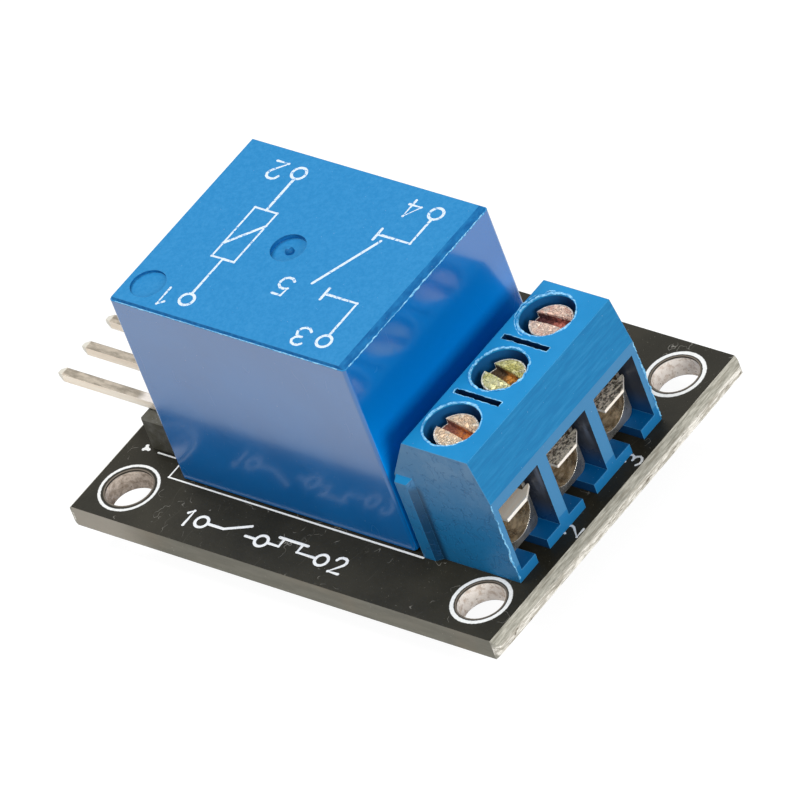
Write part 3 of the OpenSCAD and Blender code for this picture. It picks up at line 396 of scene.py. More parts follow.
def block_paint():
    """Satin moulding: brushed slope, greyed ends, and painted shade in the entries, wells and
    vents.
    """
    p = Paint("terminal_plastic", Specular_IOR_Level=0.2)
    nx, ny, nz = p.facing()
    normal = p.rounded(0.09)
    cloud = p.clouds(0.3, 4.0, 0.6)
    streak = p.clouds(1.8, 5.0, 0.7, (2.0, 0.22, 2.0))
    fine = p.clouds(7.0, 4.0, 0.65)
    outer = (p.y < END_LO + 0.02).most(p.y > BLOCK_HI.y - 0.02)
    slope = (p.x > BLOCK_HI.x - 0.8) * (p.z > SLOPE_FOOT - 0.05) * (p.z < BLOCK_HI.z - 0.05)
    front = (p.x > BLOCK_HI.x - 0.03) * (p.z < SLOPE_FOOT)
    base = p.mix(cloud.rise(0.3, 0.72), (0.002, 0.22, 0.5), (0.008, 0.25, 0.55))
    base = p.mix(slope, base, (0.008, 0.2, 0.44))
    base = p.mix(slope * streak.rise(0.46, 0.62) * 0.3, base, (0.004, 0.12, 0.33))
    base = p.mix(slope * streak.rise(0.48, 0.34) * 0.3, base, (0.04, 0.28, 0.55))
    base = p.mix(front, base, (0.05, 0.22, 0.43))
    base = p.mix(front * (p.z < TOP + 1.25), base, (0.012, 0.17, 0.4))
    tab = (p.z < TOP + 1.25) * (nz > 0.7)
    base = p.mix(tab, base, (0.0, 0.115, 0.34))
    outer = outer * (1 - front) * (nz < 0.5)
    base = p.mix(outer, base, (0.01, 0.155, 0.355))
    shade = (p.x - RIB_X).rise(0.65, 0.1) * (p.x > RIB_X - 0.38) * p.z.rise(RIB_TOP, RIB_TOP - 0.7)
    shade = shade * (p.y < END_LO + 0.02)
    base = p.mix(shade * 0.85, base, (0.004, 0.02, 0.05))
    grey = p.clouds(0.7, 4.0, 0.6, shift=2.0).rise(0.42, 0.66)
    fade = p.z.rise(4.2, 11.4) * (grey * 0.3 + 0.62)
    base = p.mix(outer * fade, base, (0.13, 0.26, 0.42))
    crazed = p.scratches(1.3, (1.0, 1.0, 1.0), 0.03, 0.44)
    base = p.mix(outer * crazed * 0.35, base, (0.006, 0.07, 0.2))
    # painted highlight: pale along the sharp edges
    base = p.mix(p.edge_highlight(normal) * 0.8, base, (0.1, 0.38, 0.68))
    dust = p.specks(1.7, 0.06, 0.4) + p.specks(4.0, 0.08, 0.25)
    base = p.mix(dust.least(1.0) * 0.4, base, (0.5, 0.6, 0.7))

    # deep walls: painted shade in the entries, greyer and darker towards their top, with a pale
    # streak of painted reflection, and painted shade in the wells
    entry = (p.x < BLOCK_HI.x - 0.02) * (p.z < ENTRY_TOP + 0.01) * (abs(ny) > 0.9) * (1 - outer)
    back = (p.x < BLOCK_HI.x - 1.2) * (p.z < ENTRY_TOP + 0.01) * (nx > 0.9)
    sheen = p.clouds(1.2, 3.0, 0.6, (0.55, 1.0, 0.1)).rise(0.56, 0.7) * p.z.rise(3.6, 6.4)
    entry_shade = p.mix(p.z.rise(4.5, 2.2), (0.035, 0.042, 0.058), (0.006, 0.06, 0.18))
    entry_shade = p.mix(sheen * 0.8, entry_shade, (0.16, 0.2, 0.28))
    base = p.mix(entry.most(back), base, entry_shade)
    well = p.z
    for y in POLE_Y:
        well = well.least(p.length(p.x - WELL_X, p.y - y))
    shaded_well = (well < WELL_R + 0.03) * (p.z < BLOCK_HI.z - 0.12) * (p.z > ENTRY_TOP)
    # painted shade on the well walls, darker still on their side towards +X
    base = p.mix(shaded_well, base, (0.008, 0.1, 0.27))
    base = p.mix(shaded_well * (p.x - WELL_X).rise(-1.2, 0.6) * 0.8, base, (0.01, 0.03, 0.1))
    vents = abs(p.y - GAPS[0]).least(abs(p.y - GAPS[1])) < VENT_W / 2 + 0.02
    vents = vents * (p.z < BLOCK_HI.z - 0.06) * (abs(p.x - SCREW_X) < VENT_L / 2 + 0.02)
    # painted shade down the narrow vents
    base = p.mix(vents * (p.z > ENTRY_TOP), base, (0.003, 0.03, 0.1))
    p.set(Base_Color=base)
    p.set(Roughness=cloud * 0.15 + 0.31 + streak * slope * 0.15 - entry * 0.12)
    height = fine * 0.35 + streak * slope * 0.7 + p.clouds(0.55, 2.0) * 1.2 + dust * 0.4
    height = height + outer * (grey * 0.8 - crazed * 0.9)
    p.set(Normal=p.bump(height, 0.03, normal, 0.6))
    return p.finish("terminal_housing")


def torn_paint():
    """Plastic stretched pale where a flash has torn."""
    p = Paint("torn_plastic", Specular_IOR_Level=0.5)
    pale = p.clouds(4.0, 3.0, 0.6)
    p.set(Base_Color=p.mix(pale.rise(0.3, 0.65), (0.03, 0.32, 0.66), (0.3, 0.66, 0.9)))
    p.set(Roughness=pale * 0.2 + 0.28, Normal=p.bump(pale, 0.03))
    return p.material


def plain_plastic(name, colour, rough, dusty, *where):
    """A moulded plastic with a fine grain and a film of dust."""
    p = Paint(name, Specular_IOR_Level=0.4)
    film = p.clouds(1.1, 5.0, 0.65)
    grain = p.clouds(8.0, 3.0)
    pale = tuple(c + dusty * 0.5 for c in colour)
    base = p.mix(film.rise(0.38, 0.75), colour, pale)
    base = p.mix(p.specks(4.0, 0.12, 0.4) * min(1.0, dusty * 6), base, (0.35, 0.33, 0.3))
    p.set(Base_Color=base, Roughness=film * 0.25 + rough)
    p.set(Normal=p.bump(grain + film, 0.03, p.rounded(0.06), 0.5))
    return p.finish(*where)


# ---------- metals ----------


def screw_paint(i, pale, dark, slot_tint, slot_shade):
    """Plated steel crinkled like foil, with a tint of its own for each head, painted glints,
    painted shade in its creases and slot, and a painted highlight round its rim.
    """
    p = Paint(f"screw_plate_{i}", Specular_IOR_Level=0.25)
    film = p.clouds(0.9, 4.0, 0.65, shift=3.1 * i)
    glint_noise = p.clouds(1.9, 3.0, 0.6, shift=2.3 * i)
    crease = abs(p.clouds(2.3, 3.0, 0.6, shift=1.7 * i) - 0.5)
    base = p.mix(film.rise(0.36, 0.64), dark, pale)
    # painted shade along the creases of the crinkled plating
    base = p.mix(crease.rise(0.05, 0.0) * 0.3, base, tuple(c * 0.5 for c in dark))
    # painted glints: pale patches on the lands
    base = p.mix(glint_noise.rise(0.55, 0.68) * 0.6, base, (1.0, 0.93, 0.78))
    smudge = p.clouds(1.2, 4.0, 0.7, shift=4.7 * i).rise(0.53, 0.64)
    base = p.mix(smudge * 0.5, base, tuple(c * 0.45 for c in dark))
    # painted shade in the slot: its floor is darkest towards -X and warm-tinted towards +X, with
    # darker smudges
    side = (p.x - SCREW_X).rise(-0.7, 0.5)
    tint = p.mix(glint_noise.rise(0.3, 0.55), slot_shade, slot_tint)
    radius = p.length(p.x - SCREW_X, p.y - POLE_Y[i - 1])
    floor = p.z.rise(SCREW_HI.z - 0.16, SCREW_HI.z - 0.24) * (radius < HEAD_R - 0.07)
    base = p.mix(floor, base, p.mix(side, slot_shade, tint))
    base = p.mix(floor * smudge * 0.6, base, tuple(c * 0.3 for c in slot_shade))
    # painted highlight: a pale ring round the head's edge
    rim_highlight = radius.rise(HEAD_R - 0.13, HEAD_R - 0.05)
    base = p.mix(rim_highlight * (1 - floor) * 0.8, base, (0.97, 0.95, 0.88))
    p.set(Base_Color=base, Metallic=0.25 - floor * 0.2, Roughness=glint_noise * 0.25 + 0.25)
    crinkle = p.clouds(1.7, 3.0, 0.55, shift=2.0 * i) + crease.rise(0.0, 0.12) * 0.6
    p.set(Normal=p.bump(crinkle, 0.26, p.rounded(0.06), 0.9))
    return p.finish(f"terminal_screw_{i}")


def cage_paint():
    """Dull plated strip with a turned, bronze bore, painted highlights on its edges and painted
    shade high in the bore.
    """
    p = Paint("cage_plate", Metallic=0.75)
    nx = p.facing()[0]
    film = p.clouds(0.8, 4.0, 0.6)
    turned = p.clouds(2.2, 4.0, 0.65, (1.4, 0.7, 0.7))
    bore = (nx < 0.5) * (p.x < CAGE_HI.x - 0.02)
    face = p.mix(film.rise(0.35, 0.7), (0.2, 0.2, 0.19), (0.42, 0.41, 0.39))
    bronze = p.mix(turned.rise(0.36, 0.66), (0.42, 0.33, 0.22), (0.98, 0.85, 0.65))
    base = p.mix(bore, face, bronze)
    # painted highlight: pale along the sharp edges
    base = p.mix(p.edge_highlight(p.rounded(0.05)), base, (0.98, 0.93, 0.83))
    # painted shade: the bore darkens towards its top, under the pressure plate
    base = p.mix(bore * p.z.rise(PLATE_LO.z - 1.6, PLATE_LO.z) * 0.65, base, (0.05, 0.035, 0.02))
    p.set(Base_Color=base, Roughness=film * 0.15 + 0.2)
    p.set(Normal=p.bump(turned, 0.04, p.rounded(0.05), 0.6))
    return p.finish(*(f"terminal_cage_{i}" for i in POLES))


def pressure_plate_paint():
    """Two of the plates are knurled on top, the nearest is only brushed. Their edge faces carry
    painted highlights.
    """
    p = Paint("pressure_plate_steel")
    knurled = p.y > GAPS[0]
    brushed = p.clouds(2.4, 4.0, 0.6, (2.2, 0.16, 1.0))
    ridges = p.clouds(4.2, 4.0, 0.72, (1.6, 0.8, 1.0))
    upper = p.z > PLATE_HI.z - 0.03
    # painted highlight: a bright strip along the front edge of the nearest plate's top
    edge = p.x.rise(PLATE_HI.x - 0.2, PLATE_HI.x - 0.02) * (1 - knurled)
    plain = p.mix(brushed.rise(0.3, 0.7), (1.0, 0.85, 0.67), (1.0, 0.93, 0.8))
    rough = p.mix(ridges.rise(0.42, 0.58), (0.07, 0.055, 0.035), (0.85, 0.76, 0.62))
    bright = p.mix(brushed.rise(0.3, 0.7), (0.95, 0.87, 0.75), (1.0, 0.98, 0.94))
    top = p.mix(knurled, p.mix(edge, plain, bright), rough)
    # painted highlight: every face but the top is painted near white
    p.set(Base_Color=p.mix(upper, bright, top))
    p.set(Metallic=upper * knurled * 0.25, Roughness=ridges * 0.3 + 0.25)
    height = upper * knurled * ridges.rise(0.38, 0.62) * 2.2 + brushed * 0.4
    p.set(Normal=p.bump(height, 0.07, p.rounded(0.04), 0.7))
    return p.finish(*(f"pressure_plate_{i}" for i in POLES))


def pin_paint():
    """Drawn tin, with a painted dark reflection on top that lightens towards the bend, and a
    painted bright reflection along the sides.
    """
    p = Paint("pin_tin")
    nz = p.facing()[2]
    drawn = p.clouds(1.6, 4.0, 0.6, (0.12, 1.5, 1.5))
    top_mottle = p.clouds(1.3, 5.0, 0.7, (0.5, 1.5, 1.5), shift=5.0)
    # painted reflection: bright on the sides
    side = p.mix(drawn.rise(0.3, 0.7), (0.93, 0.79, 0.63), (1.0, 0.92, 0.79))
    # painted reflection: dark and mottled on the top
    top = p.mix(top_mottle.rise(0.36, 0.64), (0.24, 0.205, 0.155), (0.5, 0.43, 0.34))
    # painted highlight: the top lightens towards the bend
    bend = p.x.rise(HEADER_X - 2.1, HEADER_X - 1.3)
    top = p.mix(bend * 0.8, top, (0.85, 0.78, 0.72))
    tip = p.x.rise(PIN_TIP + 0.55, PIN_TIP + 0.4)
    base = p.mix((nz > 0.7) * (1 - tip), side, top)
    base = p.mix(tip * 0.7, base, (0.6, 0.6, 0.53))
    p.set(Base_Color=base, Metallic=0.35, Roughness=drawn * 0.2 + 0.3)
    p.set(Normal=p.bump(drawn + top_mottle * 0.5, 0.025, p.rounded(0.08), 0.6))
    return p.finish(*(f"header_pin_{i}" for i in PINS))


def plain_metal(name, colour, rough, *where, stretch=(1.0, 1.0, 1.0), depth=0.02):
    p = Paint(name, Metallic=1.0)
    film = p.clouds(1.8, 4.0, 0.6, stretch)
    dull = tuple(c * 0.62 for c in colour)
    p.set(Base_Color=p.mix(film.rise(0.35, 0.75), colour, dull), Roughness=film * 0.25 + rough)
    p.set(Normal=p.bump(film, depth, p.rounded(0.04), 0.6))
    return p.finish(*where)


def winding_paint():
    """Enamelled wire, wound in level turns."""
    p = Paint("copper_wire", Metallic=1.0)
    turn = (p.z * (math.tau / 0.11)).math("SINE")
    # painted shade between the turns and painted highlight on their crests
    base = p.mix(turn.rise(-0.8, 0.4), (0.3, 0.09, 0.03), (0.85, 0.4, 0.18))
    p.set(Base_Color=base, Roughness=p.clouds(2.0) * 0.2 + 0.2)
    p.set(Normal=p.bump(turn, 0.02))
    return p.finish("coil_winding")


# ---------- mesh helpers ----------


def piece(name, mesh_or_bm, material, body="module"):
    """A finished piece at the origin, riding on its body. A bmesh is in mm."""
    if isinstance(mesh_or_bm, bmesh.types.BMesh):
        mesh = bpy.data.meshes.new(name)
        bmesh.ops.scale(mesh_or_bm, vec=(MM,) * 3, verts=mesh_or_bm.verts)
        bmesh.ops.recalc_face_normals(mesh_or_bm, faces=mesh_or_bm.faces)
        mesh_or_bm.to_mesh(mesh)
        mesh_or_bm.free()
    else:
        mesh = mesh_or_bm
    obj = bpy.data.objects.new(name, mesh)
    bpy.context.scene.collection.objects.link(obj)
    mesh.materials.clear()
    mesh.materials.append(material)
    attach(obj, body)
    return obj


def tube_ring(bm, rings, closed_ends=True):
    """Joins rings of equally many points into a skin, with caps."""
    made = [[bm.verts.new(p) for p in ring] for ring in rings]
    n = len(made[0])
    for a, b in zip(made, made[1:]):
        for k in range(n):
            bm.faces.new((a[k], a[(k + 1) % n], b[(k + 1) % n], b[k]))
    if closed_ends:
        bm.faces.new(list(reversed(made[0])))
        bm.faces.new(made[-1])
    return made


def smooth(obj, angle=40):
    for f in obj.data.polygons:
        f.use_smooth = True
    obj.data.set_sharp_from_angle(angle=math.radians(angle))


def wire(name, lines):
    """A mesh of edges only, from lines of points in mm. A line whose ends meet is closed."""
    points, edges = [], []
    for line in lines:
        line = [Vector(p) for p in line]
        closed = (line[0] - line[-1]).length < 1e-6
        count = len(line) - 1 if closed else len(line)
        start = len(points)
        points += [p * MM for p in line[:count]]
        edges += [(k, k + 1) for k in range(start, start + count - 1)]
        if closed:
            edges.append((start + count - 1, start))
    mesh = bpy.data.meshes.new(name)
    mesh.from_pydata(points, edges, [])
    return mesh


# ---------- Geometry Nodes ----------


def growing_graph(name, inputs):
    """A node group that turns a mesh of lines into a solid, and its named inputs."""
    tree = bpy.data.node_groups.new(name, "GeometryNodeTree")
    for label, kind in inputs.items():
        tree.interface.new_socket(label, in_out="INPUT", socket_type=f"NodeSocket{kind}")
    tree.interface.new_socket("Result", in_out="OUTPUT", socket_type="NodeSocketGeometry")
    g = Graph(tree)
    return g, {label: g.node("NodeGroupInput", out=label) for label in inputs}


def finish_graph(g, made, material):
    real = g.node("GeometryNodeRealizeInstances", sockets=[made])
    painted = g.node("GeometryNodeSetMaterial", sockets={0: real, "Material": material})
    g.node("NodeGroupOutput", sockets=[painted])
    return g.tree


def ink_tree():
    """Flat ink of one width and thickness along every edge, as one clean solid."""
    g, given = growing_graph(
        "ink_lines",
        {"Lines": "Geometry", "Width": "Float", "Thickness": "Float", "Material": "Material"},
    )
    curve = g.node("GeometryNodeMeshToCurve", sockets=[given["Lines"]])
    level = g.node("GeometryNodeSetCurveNormal", {"mode": "Z_UP"}, [curve])
    section = g.node(
        "GeometryNodeCurvePrimitiveQuadrilateral",
        sockets={"Width": given["Width"], "Height": given["Thickness"]},
    )
    sweep = g.node(
        "GeometryNodeCurveToMesh",
        sockets={"Curve": level, "Profile Curve": section, "Fill Caps": True},
    )
    dot = g.node(
        "GeometryNodeMeshCylinder",
        sockets={"Vertices": 12, "Radius": given["Width"] * 0.5, "Depth": given["Thickness"]},
    )
    spots = g.node("GeometryNodeMeshToPoints", sockets=[given["Lines"]])
    dots = g.node(
        "GeometryNodeInstanceOnPoints", sockets={"Points": spots, "Instance": dot}
    )
    parts = g.node("GeometryNodeRealizeInstances", sockets=[
        g.node("GeometryNodeJoinGeometry", sockets=[[sweep, dots]])
    ])
    solid = g.node(
        "GeometryNodeMeshBoolean",
        {"operation": "UNION", "solver": "EXACT"},
        {"Mesh": [parts], "Self Intersection": True},
    )
    return finish_graph(g, solid, given["Material"])


def torn_tree():
    """A ragged thread of plastic along every line, that swells, pinches and wanders."""
    g, given = growing_graph("torn_edge", {
        "Lines": "Geometry", "Thickness": "Float", "Wander": "Float", "Raggedness": "Float",
        "Seed": "Float", "Material": "Material",
    })
    curve = g.node("GeometryNodeMeshToCurve", sockets=[given["Lines"]])
    fine = g.node(
        "GeometryNodeResampleCurve", {"mode": "LENGTH"}, {"Curve": curve, "Length": 0.05 * MM}
    )
    noises = [
        g.node(
            "ShaderNodeTexNoise",
            {"noise_dimensions": "4D"},
            {"W": given["Seed"], "Scale": scale / MM, "Detail": detail},
            out=out,
        )
        for scale, detail, out in ((2.6, 4.0, "Color"), (1.1, 4.0, "Fac"))
    ]
    about = g.node("ShaderNodeVectorMath", {"operation": "SUBTRACT"}, [noises[0], (0.5,) * 3])
    offset = g.node(
        "ShaderNodeVectorMath", {"operation": "SCALE"}, {0: about, "Scale": given["Wander"]}
    )
    moved = g.node("GeometryNodeSetPosition", sockets={0: fine, "Offset": offset})
    section = g.node(
        "GeometryNodeCurvePrimitiveCircle",
        sockets={"Resolution": 6, "Radius": given["Thickness"] * 0.5},
    )
    swell = (noises[1] - 0.5) * given["Raggedness"] + 1
    sweep = g.node(
        "GeometryNodeCurveToMesh",
        sockets={
            "Curve": moved, "Profile Curve": section, "Scale": swell.most(0.12),
            "Fill Caps": True,
        },
    )
    soft = g.node("GeometryNodeSetShadeSmooth", sockets=[sweep])
    return finish_graph(g, soft, given["Material"])


def grown(name, tree, mesh, inputs):
    """Runs a tree on a mesh, and returns the result as a plain mesh."""
    obj = bpy.data.objects.new(name + "_seed", mesh)
    bpy.context.scene.collection.objects.link(obj)
    modifier = obj.modifiers.new("grow", "NODES")
    modifier.node_group = tree
    for item in tree.interface.items_tree:
        if item.item_type == "SOCKET" and item.in_out == "INPUT" and item.name in inputs:
            modifier[item.identifier] = inputs[item.name]
    depsgraph = bpy.context.evaluated_depsgraph_get()
    result = bpy.data.meshes.new_from_object(obj.evaluated_get(depsgraph))
    obj.modifiers.clear()
    bpy.data.objects.remove(obj)
    return result


# ---------- printed marks ----------

DIGITS = {
    "1": [[(0.1, 0.78), (0.34, 1.0), (0.34, 0.0)]],
    "2": [[(0.0, 0.78), (0.06, 0.92), (0.2, 1.0), (0.4, 1.0), (0.54, 0.92), (0.6, 0.76),
           (0.54, 0.58), (0.0, 0.0), (0.62, 0.0)]],
    "3": [[(0.02, 0.86), (0.14, 0.98), (0.32, 1.0), (0.5, 0.94), (0.58, 0.78), (0.52, 0.62),
           (0.36, 0.54), (0.24, 0.53)],
          [(0.36, 0.54), (0.54, 0.46), (0.62, 0.28), (0.54, 0.1), (0.36, 0.0), (0.16, 0.01),
           (0.0, 0.14)]],
    "4": [[(0.48, 0.0), (0.48, 1.0), (0.0, 0.3), (0.64, 0.3)]],
    "5": [[(0.56, 1.0), (0.1, 1.0), (0.05, 0.56), (0.22, 0.63), (0.42, 0.61), (0.57, 0.48),
           (0.61, 0.3), (0.54, 0.1), (0.38, 0.0), (0.16, 0.0), (0.0, 0.12)]],
}


def digit(char, x, y, height, turn=0.0):
    """The strokes of one numeral with its foot at (x, y), turned by an angle."""
    c, s = math.cos(turn), math.sin(turn)
    return [
        [(x + (u * c - v * s) * height, y + (u * s + v * c) * height) for u, v in line]
        for line in DIGITS[char]
    ]


def circle_line(x, y, r, steps=24):
    return [
        (x + r * math.cos(math.tau * k / steps), y + r * math.sin(math.tau * k / steps))
        for k in range(steps + 1)
    ]


def ink_lines(name, tree, lines, width, z, ink, thickness=0.012):
    """Printed lines sunk half into a level face at height z, all in mm."""
    mesh = wire(name, [[(x, y, z) for x, y in line] for line in lines])
    made = grown(name, tree, mesh,
                 {"Width": width * MM, "Thickness": thickness * MM, "Material": ink})
    return piece(name, made, ink)


def ink_paint(name, colour, ground, bare):
    """Screen-printed ink with pinholes that let the ground through."""
    p = Paint(name, Specular_IOR_Level=0.4)
    holes = p.clouds(5.5, 3.0, 0.7)
    p.set(Base_Color=p.mix(holes.rise(0.62 - bare, 0.7 - bare), colour, ground))
    p.set(Roughness=holes * 0.2 + 0.42)
    p.set(Normal=p.bump(holes, 0.02))
    return p.material


def board_marks(tree, ink):
    """Outlines of the relay and the header, numbers at the poles, and a contact diagram."""
    side, front = CASE_LO.x - 0.98, CASE_LO.y - 0.23
    outline = [[(side, CASE_HI.y + 0.4), (side, front), (BLOCK_LO.x + 0.1, front)]]
    ink_lines("relay_outline", tree, outline, 0.15, TOP, ink)
    x, y = HEADER_X - 1.45, HEADER_Y[0] - 1.5
    ink_lines("header_outline", tree, [[(x + 0.95, y), (x + 2.4, y)]], 0.12, TOP, ink)
    corner = [[(x - 0.2, y - 0.1), (x - 0.15, y + 0.25), (x + 0.15, y), (x - 0.2, y - 0.1)],
              [(x - 0.1, y), (x - 0.1, y + 0.1)]]
    ink_lines("header_corner_mark", tree, corner, 0.26, TOP, ink)

    foot = BLOCK_HI.x + 1.02
    numbers = []
    for char, y in zip("23", (-3.75, 2.85)):
        numbers += digit(char, foot, y, 1.2, math.pi / 2)
    ink_lines("pole_numbers", tree, numbers, 0.17, TOP, ink)

    # contact diagram between the relay and the board's front edge
    y0, x0, r = -11.3, -7.7, 0.46
    marks = [circle_line(x0 + d, y0, r) for d in (0.0, 4.9, 9.8)]
    marks += [
        [(x0 + r, y0), (x0 + 1.8, y0), (x0 + 3.5, y0 + 0.85)],
        [(x0 + 3.6, y0), (x0 + 4.9 - r, y0)],
        [(x0 + 4.9 + r, y0), (x0 + 6.3, y0), (x0 + 6.3, y0 + 0.7)],
        [(x0 + 9.8 - r, y0), (x0 + 7.8, y0), (x0 + 7.8, y0 + 0.7)],
        [(x0 + 5.9, y0 + 0.7), (x0 + 8.2, y0 + 0.7)],
    ]
    marks += digit("1", x0 - 1.5, y0 - 0.65, 1.3)
    marks += digit("2", x0 + 10.8, y0 - 0.65, 1.3)
    ink_lines("contact_diagram", tree, marks, 0.21, TOP, ink)


def case_marks(tree, ink):
    """A pin diagram on the relay's top, with plain pin numbers."""
    z = CASE_HI.z
    low, high, r = -6.9, 5.0, 0.5
    coil, contacts, arm = -6.2, 4.9, 1.4
    marks = [circle_line(coil, y, r) for y in (low, high)]
    marks += [
        [(coil, low + r), (coil, -3.1), (coil - 0.9, -3.1), (coil - 0.9, 1.5),
         (coil + 0.9, 1.5), (coil + 0.9, -3.1), (coil, -3.1)],
        [(coil - 0.9, -1.9), (coil + 0.9, 0.3)],
        [(coil, 1.5), (coil, high - r)],
    ]
    marks += [circle_line(contacts, y, r) for y in (low, high)]
    marks += [
        [(contacts, low + r), (contacts, -3.4), (arm + 0.9, -3.4)],
        [(contacts, high - r), (contacts, 2.2), (arm + 0.9, 2.2)],
        [(arm + 0.9, -3.9), (arm + 0.9, -2.9)],
        [(arm + 0.9, 1.7), (arm + 0.9, 2.7)],
        [(arm - 0.5, -2.9), (arm + 1.5, 1.75)],
    ]
    ink_lines("pin_diagram", tree, marks, 0.2, z, ink)
    numbers = []
    for char, x, y in (("1", coil - 1.2, low + 0.5), ("2", coil - 1.2, high + 0.5),
                       ("3", contacts - 1.3, low + 0.6), ("4", contacts - 1.3, high + 0.6),
                       ("5", -0.3, -3.0)):
        numbers += digit(char, x, y, 1.5, math.pi)
    ink_lines("pin_numbers", tree, numbers, 0.19, z, ink)


# ---------- moulding flash, threads, joints ----------


def ring_points(x, y, z, r, start=0.0, turn=math.tau, steps=64):
    return [
        (x + r * math.cos(start + turn * k / steps), y + r * math.sin(start + turn * k / steps), z)
        for k in range(steps + 1)
    ]


def torn(name, tree, lines, thickness, wander, raggedness, seed, material, slot):
    """A piece of flash along lines. Thickness and wander are in mm."""
    made = grown(name, tree, wire(name, lines), {
        "Thickness": thickness * MM, "Wander": wander * MM, "Raggedness": raggedness,
        "Seed": float(seed), "Material": material,
    })
    return piece(name, made, material)


def block_flash(tree, material):
    """The torn skin at the wells, the narrow vents and the housing's front corners."""
    z = BLOCK_HI.z
    for i, y in enumerate(POLE_Y):
        wander = (0.16, 0.34, 0.26)[i]
        rings = [ring_points(WELL_X, y, z, WELL_R + 0.04),
                 ring_points(WELL_X, y, z + 0.02, WELL_R + 0.1, 1.2, 3.6)]
        torn(f"well_flash_{i + 1}", tree, rings, 0.09, wander, 5.0, i, material, "block_plastic")
    y = POLE_Y[2]
    torn("well_flash_outer", tree, [ring_points(WELL_X, y, z, WELL_R + 0.27, 1.9, 2.6)],
         0.08, 0.3, 5.0, 5, material, "block_plastic")
    vents = []
    for y in GAPS:
        x0, x1 = SCREW_X - VENT_L / 2, SCREW_X + VENT_L / 2
        w = VENT_W / 2
        vents.append([(x0, y - w, z), (x1, y - w, z), (x1, y + w, z), (x0, y + w, z),
                      (x0, y - w, z)])
    torn("vent_flash", tree, vents, 0.06, 0.2, 4.5, 7, material, "block_plastic")
    x = BLOCK_HI.x
    corners = [
        [(x, y, SLOPE_FOOT - 0.1), (x + 0.02, y, TOP + 0.3)]
        for y in (END_LO + 0.01, BLOCK_HI.y - 0.02)
    ]
    torn("corner_flash", tree, corners, 0.1, 0.34, 5.0, 9, material, "block_plastic")


def case_flash(tree, material):
    """The fine lip where the relay's top meets its walls."""
    z = CASE_HI.z - CROWN
    x, y = CASE_HI.x - 0.02, CASE_LO.y + 0.03
    lips = [[(x, CASE_LO.y + 0.5, z), (x, CASE_HI.y - 0.5, z)],
            [(CASE_LO.x + 0.5, y, z), (CASE_HI.x - 0.6, y, z)]]
    torn("crown_lip_end", tree, lips[:1], 0.08, 0.2, 5.0, 11, material, "case_plastic")
    torn("crown_lip_side", tree, lips[1:], 0.06, 0.08, 3.4, 12, material, "case_plastic")


def screw_thread(i, material):
    """The rolled thread on a screw's shank, below its head, riding with the screw."""
    lo, hi = box_mm(f"terminal_screw_{i}")
    x, y = SCREW_X, POLE_Y[i - 1]
    bm = bmesh.new()
    root, crest, pitch = 1.15, 1.235, 0.5
    z0, z1 = lo.z + 0.3, hi.z - 1.25
    steps = 24
    last = int((z1 - z0) / pitch * steps)
    rings = []
    for k in range(last + 1):
        a = math.tau * k / steps
        z = z0 + pitch * k / steps
        c = Vector((math.cos(a), math.sin(a), 0))
        at = Vector((x, y, z))
        fade = min(1.0, k / steps * 2, (last - k) / steps * 2)
        tall = root + (crest - root) * fade + 0.004
        rings.append([
            at + c * root + Vector((0, 0, -0.17)), at + c * tall + Vector((0, 0, -0.03)),
            at + c * tall + Vector((0, 0, 0.03)), at + c * root + Vector((0, 0, 0.17)),
        ])
    tube_ring(bm, rings)
    smooth(piece(f"screw_thread_{i}", bm, material, f"screw_{i}"), 30)


def solder_fillets(name, node, places, material, seed):
    """Concave fillets of solder that climb the leads under the board."""
    rng = random.Random(seed)
    bm = bmesh.new()
    steps, levels = 40, 12
    for x, y, r, h, lead in places:
        rings = []
        lean = Vector((rng.uniform(-0.06, 0.06), rng.uniform(-0.06, 0.06), 0))
        phase = rng.uniform(0.0, 6.0)
        for k in range(levels + 1):
            t = k / levels
            rr = lead + (r - lead) * (1 - t) ** 2.1
            ring = []
            for m in range(steps):
                a = math.tau * m / steps
                wobble = 1 + 0.035 * math.sin(2 * a + phase) * (1 - t)
                ring.append(
                    Vector((x, y, -h * t - 0.004)) + lean * t
                    + Vector((math.cos(a), math.sin(a), 0)) * rr * wobble
                )
            rings.append(ring)
        tube_ring(bm, rings)
    obj = piece(name, bm, material)
    smooth(obj, 60)
    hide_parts(node)


def chip_fillets(material):
    """Small wedges of solder at the ends of the chip parts and the folded tabs."""
    bm = bmesh.new()
    row = []
    cap = 0.32  # reach of a metal end past its body, and the height that solder climbs it
    for node in ("base_resistor", "led_resistor", "status_led"):
        lo, hi = box_mm(node)
        row.append((lo.x - cap, hi.x + cap, (lo.y + hi.y) / 2, (hi.y - lo.y) / 2, cap))
    lo, hi = box_mm("diode_tabs")
    row.append((lo.x, hi.x, (lo.y + hi.y) / 2, (hi.y - lo.y) / 2, 0.42))
    for x0, x1, y, half, tall in row:
        for x, side in ((x0, -1), (x1, 1)):
            rings = []
            for k in range(9):
                t = k / 8
                out = 0.42 * (1 - t) ** 2
                z = TOP + tall * t
                w = half + 0.1 * (1 - t)
                rings.append([
                    Vector((x, y - w, z)), Vector((x + side * (out + 0.01), y - w, z)),
                    Vector((x + side * (out + 0.05 * (1 - t) + 0.01), y, z)),
                    Vector((x + side * (out + 0.01), y + w, z)), Vector((x, y + w, z)),
                ])
            tube_ring(bm, rings)
    smooth(piece("chip_fillets", bm, material), 50)


# ---------- studio ----------


def light(name, place, energy, width, height):
    """A soft panel that faces the module."""
    data = bpy.data.lights.new(name, "AREA")
    data.energy = energy
    data.shape = "RECTANGLE"
    data.size, data.size_y = width, height
    obj = bpy.data.objects.new(name, data)
    obj.location = place
    obj.rotation_euler = (-Vector(place)).to_track_quat("-Z", "Y").to_euler()
    bpy.context.scene.collection.objects.link(obj)


